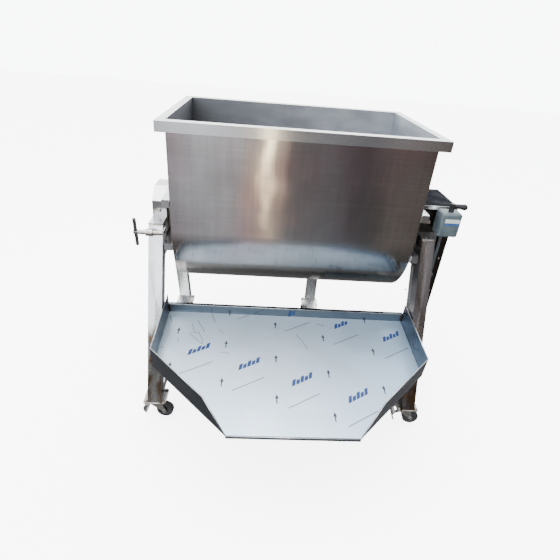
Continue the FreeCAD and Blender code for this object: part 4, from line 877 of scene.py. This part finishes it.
class MIXER_OT_stage(bpy.types.Operator):
    """Floor, soft lights and the camera"""
    bl_idname = "mixer.stage"
    bl_label = "Stage"

    def execute(self, context):
        self.floor()
        self.surroundings()
        self.lamp("overhead", (-0.4, -0.2, 3.4), (0, 0, 0), 2.6, 2.6, 170, linear("#ffffff"))
        self.camera()
        return {"FINISHED"}

    def floor(self):
        mesh = bmesh.new()
        bmesh.ops.create_grid(mesh, x_segments=8, y_segments=8, size=12)
        data = bpy.data.meshes.new("floor")
        mesh.to_mesh(data)
        mesh.free()
        # painted board: matt and even.
        material, shader = new_material("matt_floor_paint", roughness=0.9,
                                        emission_color=(1.0, 1.0, 1.0, 1.0),
                                        emission_strength=5.0)
        clouds = spread(material, (900, 900, 900), detail=2.0)
        pale = colours().floor
        link(material, blend_colour(material, clouds, pale, darker(pale, 0.985)), shader, "Base Color")
        data.materials.append(material)
        floor = bpy.data.objects.new("floor", data)
        floor.visible_glossy = False
        floor.visible_diffuse = False
        bpy.context.scene.collection.objects.link(floor)

    def surroundings(self):
        """An open yard: white sky behind and above, a pale left, a dark wall on the right, dim ground."""
        world = bpy.data.worlds.new("yard")
        bpy.context.scene.world = world
        world.use_nodes = True
        world.node_tree.nodes.clear()
        direction = add(world, "ShaderNodeTexCoord").outputs["Generated"]
        towards = add(world, "ShaderNodeSeparateXYZ", {0: direction})
        x, y, z = towards.outputs
        ahead = add(world, "ShaderNodeMath", {0: y, 1: -1.0}, operation="MULTIPLY").outputs[0]
        azimuth = add(world, "ShaderNodeMath", {0: x, 1: ahead}, operation="ARCTAN2").outputs[0]
        ground = self.steps(world, azimuth, GROUND_STOPS)
        far_ground = self.steps(world, azimuth, FAR_GROUND_STOPS)
        eye_level = self.steps(world, azimuth, EYE_LEVEL_STOPS)
        low = self.share(world, z, -0.62, -0.42)
        out = self.share(world, z, -0.27, -0.17)
        up = self.share(world, z, 0.0, 0.12)
        above = self.share(world, z, 0.45, 0.85)
        behind = self.share(world, y, -0.1, 0.35)
        near = blend_colour(world, low, linear("#6d6a67"), ground)
        # right below, the sun is on the concrete.
        near = blend_colour(world, self.share(world, z, -0.84, -0.92), near, self.white(1.1))
        front = blend_colour(world, up, blend_colour(world, out, near, far_ground), eye_level)
        # the foot of the wall across the yard is dark.
        wall_foot = self.gap(world, azimuth, -80, -9, z, -0.12, -0.07, 0.0)
        front = blend_colour(world, wall_foot, front, linear("#332f2b"))
        # the low sun stands in a gap between two walls, and spreads over wet ground below it.
        glow = tuple(v * 11 for v in linear("#fff0c4")[:3]) + (1.0,)
        puddle = tuple(v * 1.5 for v in linear("#f4d9c8")[:3]) + (1.0,)
        wet = self.gap(world, azimuth, -1.8, 3.6, z, -0.36, -0.33, -0.22)
        front = blend_colour(world, wet, front, puddle)
        front = blend_colour(world, self.gap(world, azimuth, 0.8, 1.5, z, -0.33, -0.27, 0.3), front, glow)
        back = blend_colour(world, up, linear("#8a8a8c"), self.white(5.4))
        ring = blend_colour(world, behind, front, back)
        room = blend_colour(world, above, ring, self.white(3.0))
        seen = add(world, "ShaderNodeLightPath").outputs["Is Camera Ray"]
        colour = blend_colour(world, seen, room, self.white(9.0))
        backdrop = add(world, "ShaderNodeBackground", {"Color": colour})
        add(world, "ShaderNodeOutputWorld", {"Surface": backdrop.outputs[0]})

    def gap(self, world, azimuth, left, right, z, fade, low, high):
        """1 between two azimuths in degrees and above a height that it fades in from, with soft edges."""
        edges = ((azimuth, math.radians(left - 0.5), math.radians(left)),
                 (z, fade, low), (z, high + 0.08, high),
                 (azimuth, math.radians(right + 0.5), math.radians(right)))
        share = 1.0
        for value, start, end in edges:
            share = add(world, "ShaderNodeMath", {0: self.share(world, value, start, end), 1: share},
                        operation="MULTIPLY").outputs[0]
        return share

    def white(self, strength):
        return (0.95 * strength, 0.98 * strength, 1.0 * strength, 1.0)

    def share(self, world, value, low, high):
        """0 below low, 1 above high, with a soft step between them."""
        return add(world, "ShaderNodeMapRange", {"Value": value, "From Min": low, "From Max": high},
                   interpolation_type="SMOOTHSTEP").outputs[0]

    def steps(self, world, azimuth, stops):
        """A colour that changes with the azimuth, from stops of (degrees, colour, strength)."""
        result = None
        for (start, code, strength), (end, next_code, next_strength) in zip(stops, stops[1:]):
            here = tuple(v * strength for v in linear(code)[:3]) + (1.0,)
            there = tuple(v * next_strength for v in linear(next_code)[:3]) + (1.0,)
            step = add(world, "ShaderNodeMapRange", {"Value": azimuth, "From Min": math.radians(start),
                                                     "From Max": math.radians(end)}).outputs[0]
            result = blend_colour(world, step, here if result is None else result, there)
        return result

    def lamp(self, name, position, target, width, height, power, tint):
        data = bpy.data.lights.new(name, "AREA")
        data.shape = "RECTANGLE"
        data.size = width
        data.size_y = height
        data.energy = power
        data.color = tint[:3]
        lamp = bpy.data.objects.new(name, data)
        lamp.location = position
        lamp.rotation_euler = (Vector(target) - Vector(position)).to_track_quat("-Z", "Y").to_euler()
        bpy.context.scene.collection.objects.link(lamp)

    def camera(self):
        """The photograph's view: place, heading, tilt and roll were fitted to the rim, legs and tray."""
        yaw, pitch, roll = 0.0739013668, -0.526082733, 0.0866603705
        forward = Vector((math.sin(yaw) * math.cos(pitch), math.cos(yaw) * math.cos(pitch), math.sin(pitch)))
        level = Vector((math.cos(yaw), -math.sin(yaw), 0))
        up = level.cross(forward)
        right = level * math.cos(roll) + up * math.sin(roll)
        top = up * math.cos(roll) - level * math.sin(roll)
        data = bpy.data.cameras.new("photo_view")
        data.sensor_width = 36
        data.lens = 36 * 412.693621 / 560
        camera = bpy.data.objects.new("photo_view", data)
        turn = Matrix((right, top, -forward)).transposed().to_4x4()
        camera.matrix_world = Matrix.Translation(MACHINE + Vector((-141.4, -1543.7, 1333.5)) * MM) @ turn
        bpy.context.scene.collection.objects.link(camera)
        bpy.context.scene.camera = camera


OPERATORS = (MIXER_OT_tub_finish, MIXER_OT_stand_finish, MIXER_OT_drive_finish, MIXER_OT_switch_finish,
             MIXER_OT_caster_finish, MIXER_OT_tray_film, MIXER_OT_welds, MIXER_OT_fasteners, MIXER_OT_stage)


class MIXER_PT_panel(bpy.types.Panel):
    """Lists the mixer's steps"""
    bl_label = "Trough mixer"
    bl_idname = "MIXER_PT_panel"
    bl_space_type = "VIEW_3D"
    bl_region_type = "UI"
    bl_category = "Mixer"

    def draw(self, context):
        for operator in OPERATORS:
            self.layout.operator(operator.bl_idname)
        for group in (context.scene.mixer_colours, context.scene.mixer_sizes):
            for name in group.__annotations__:
                self.layout.prop(group, name)


def register():
    for group in (MixerColours, MixerSizes, *OPERATORS, MIXER_PT_panel):
        bpy.utils.register_class(group)
    bpy.types.Scene.mixer_colours = bpy.props.PointerProperty(type=MixerColours)
    bpy.types.Scene.mixer_sizes = bpy.props.PointerProperty(type=MixerSizes)


def unregister():
    del bpy.types.Scene.mixer_colours
    del bpy.types.Scene.mixer_sizes
    for group in (MIXER_PT_panel, *reversed(OPERATORS), MixerSizes, MixerColours):
        bpy.utils.unregister_class(group)


def main():
    register()
    bpy.ops.mixer.tub_finish()
    bpy.ops.mixer.stand_finish()
    bpy.ops.mixer.drive_finish()
    bpy.ops.mixer.switch_finish()
    bpy.ops.mixer.caster_finish()
    bpy.ops.mixer.tray_film()
    bpy.ops.mixer.welds()
    bpy.ops.mixer.fasteners()
    bpy.ops.mixer.stage()


if __name__ == "__main__":
    main()
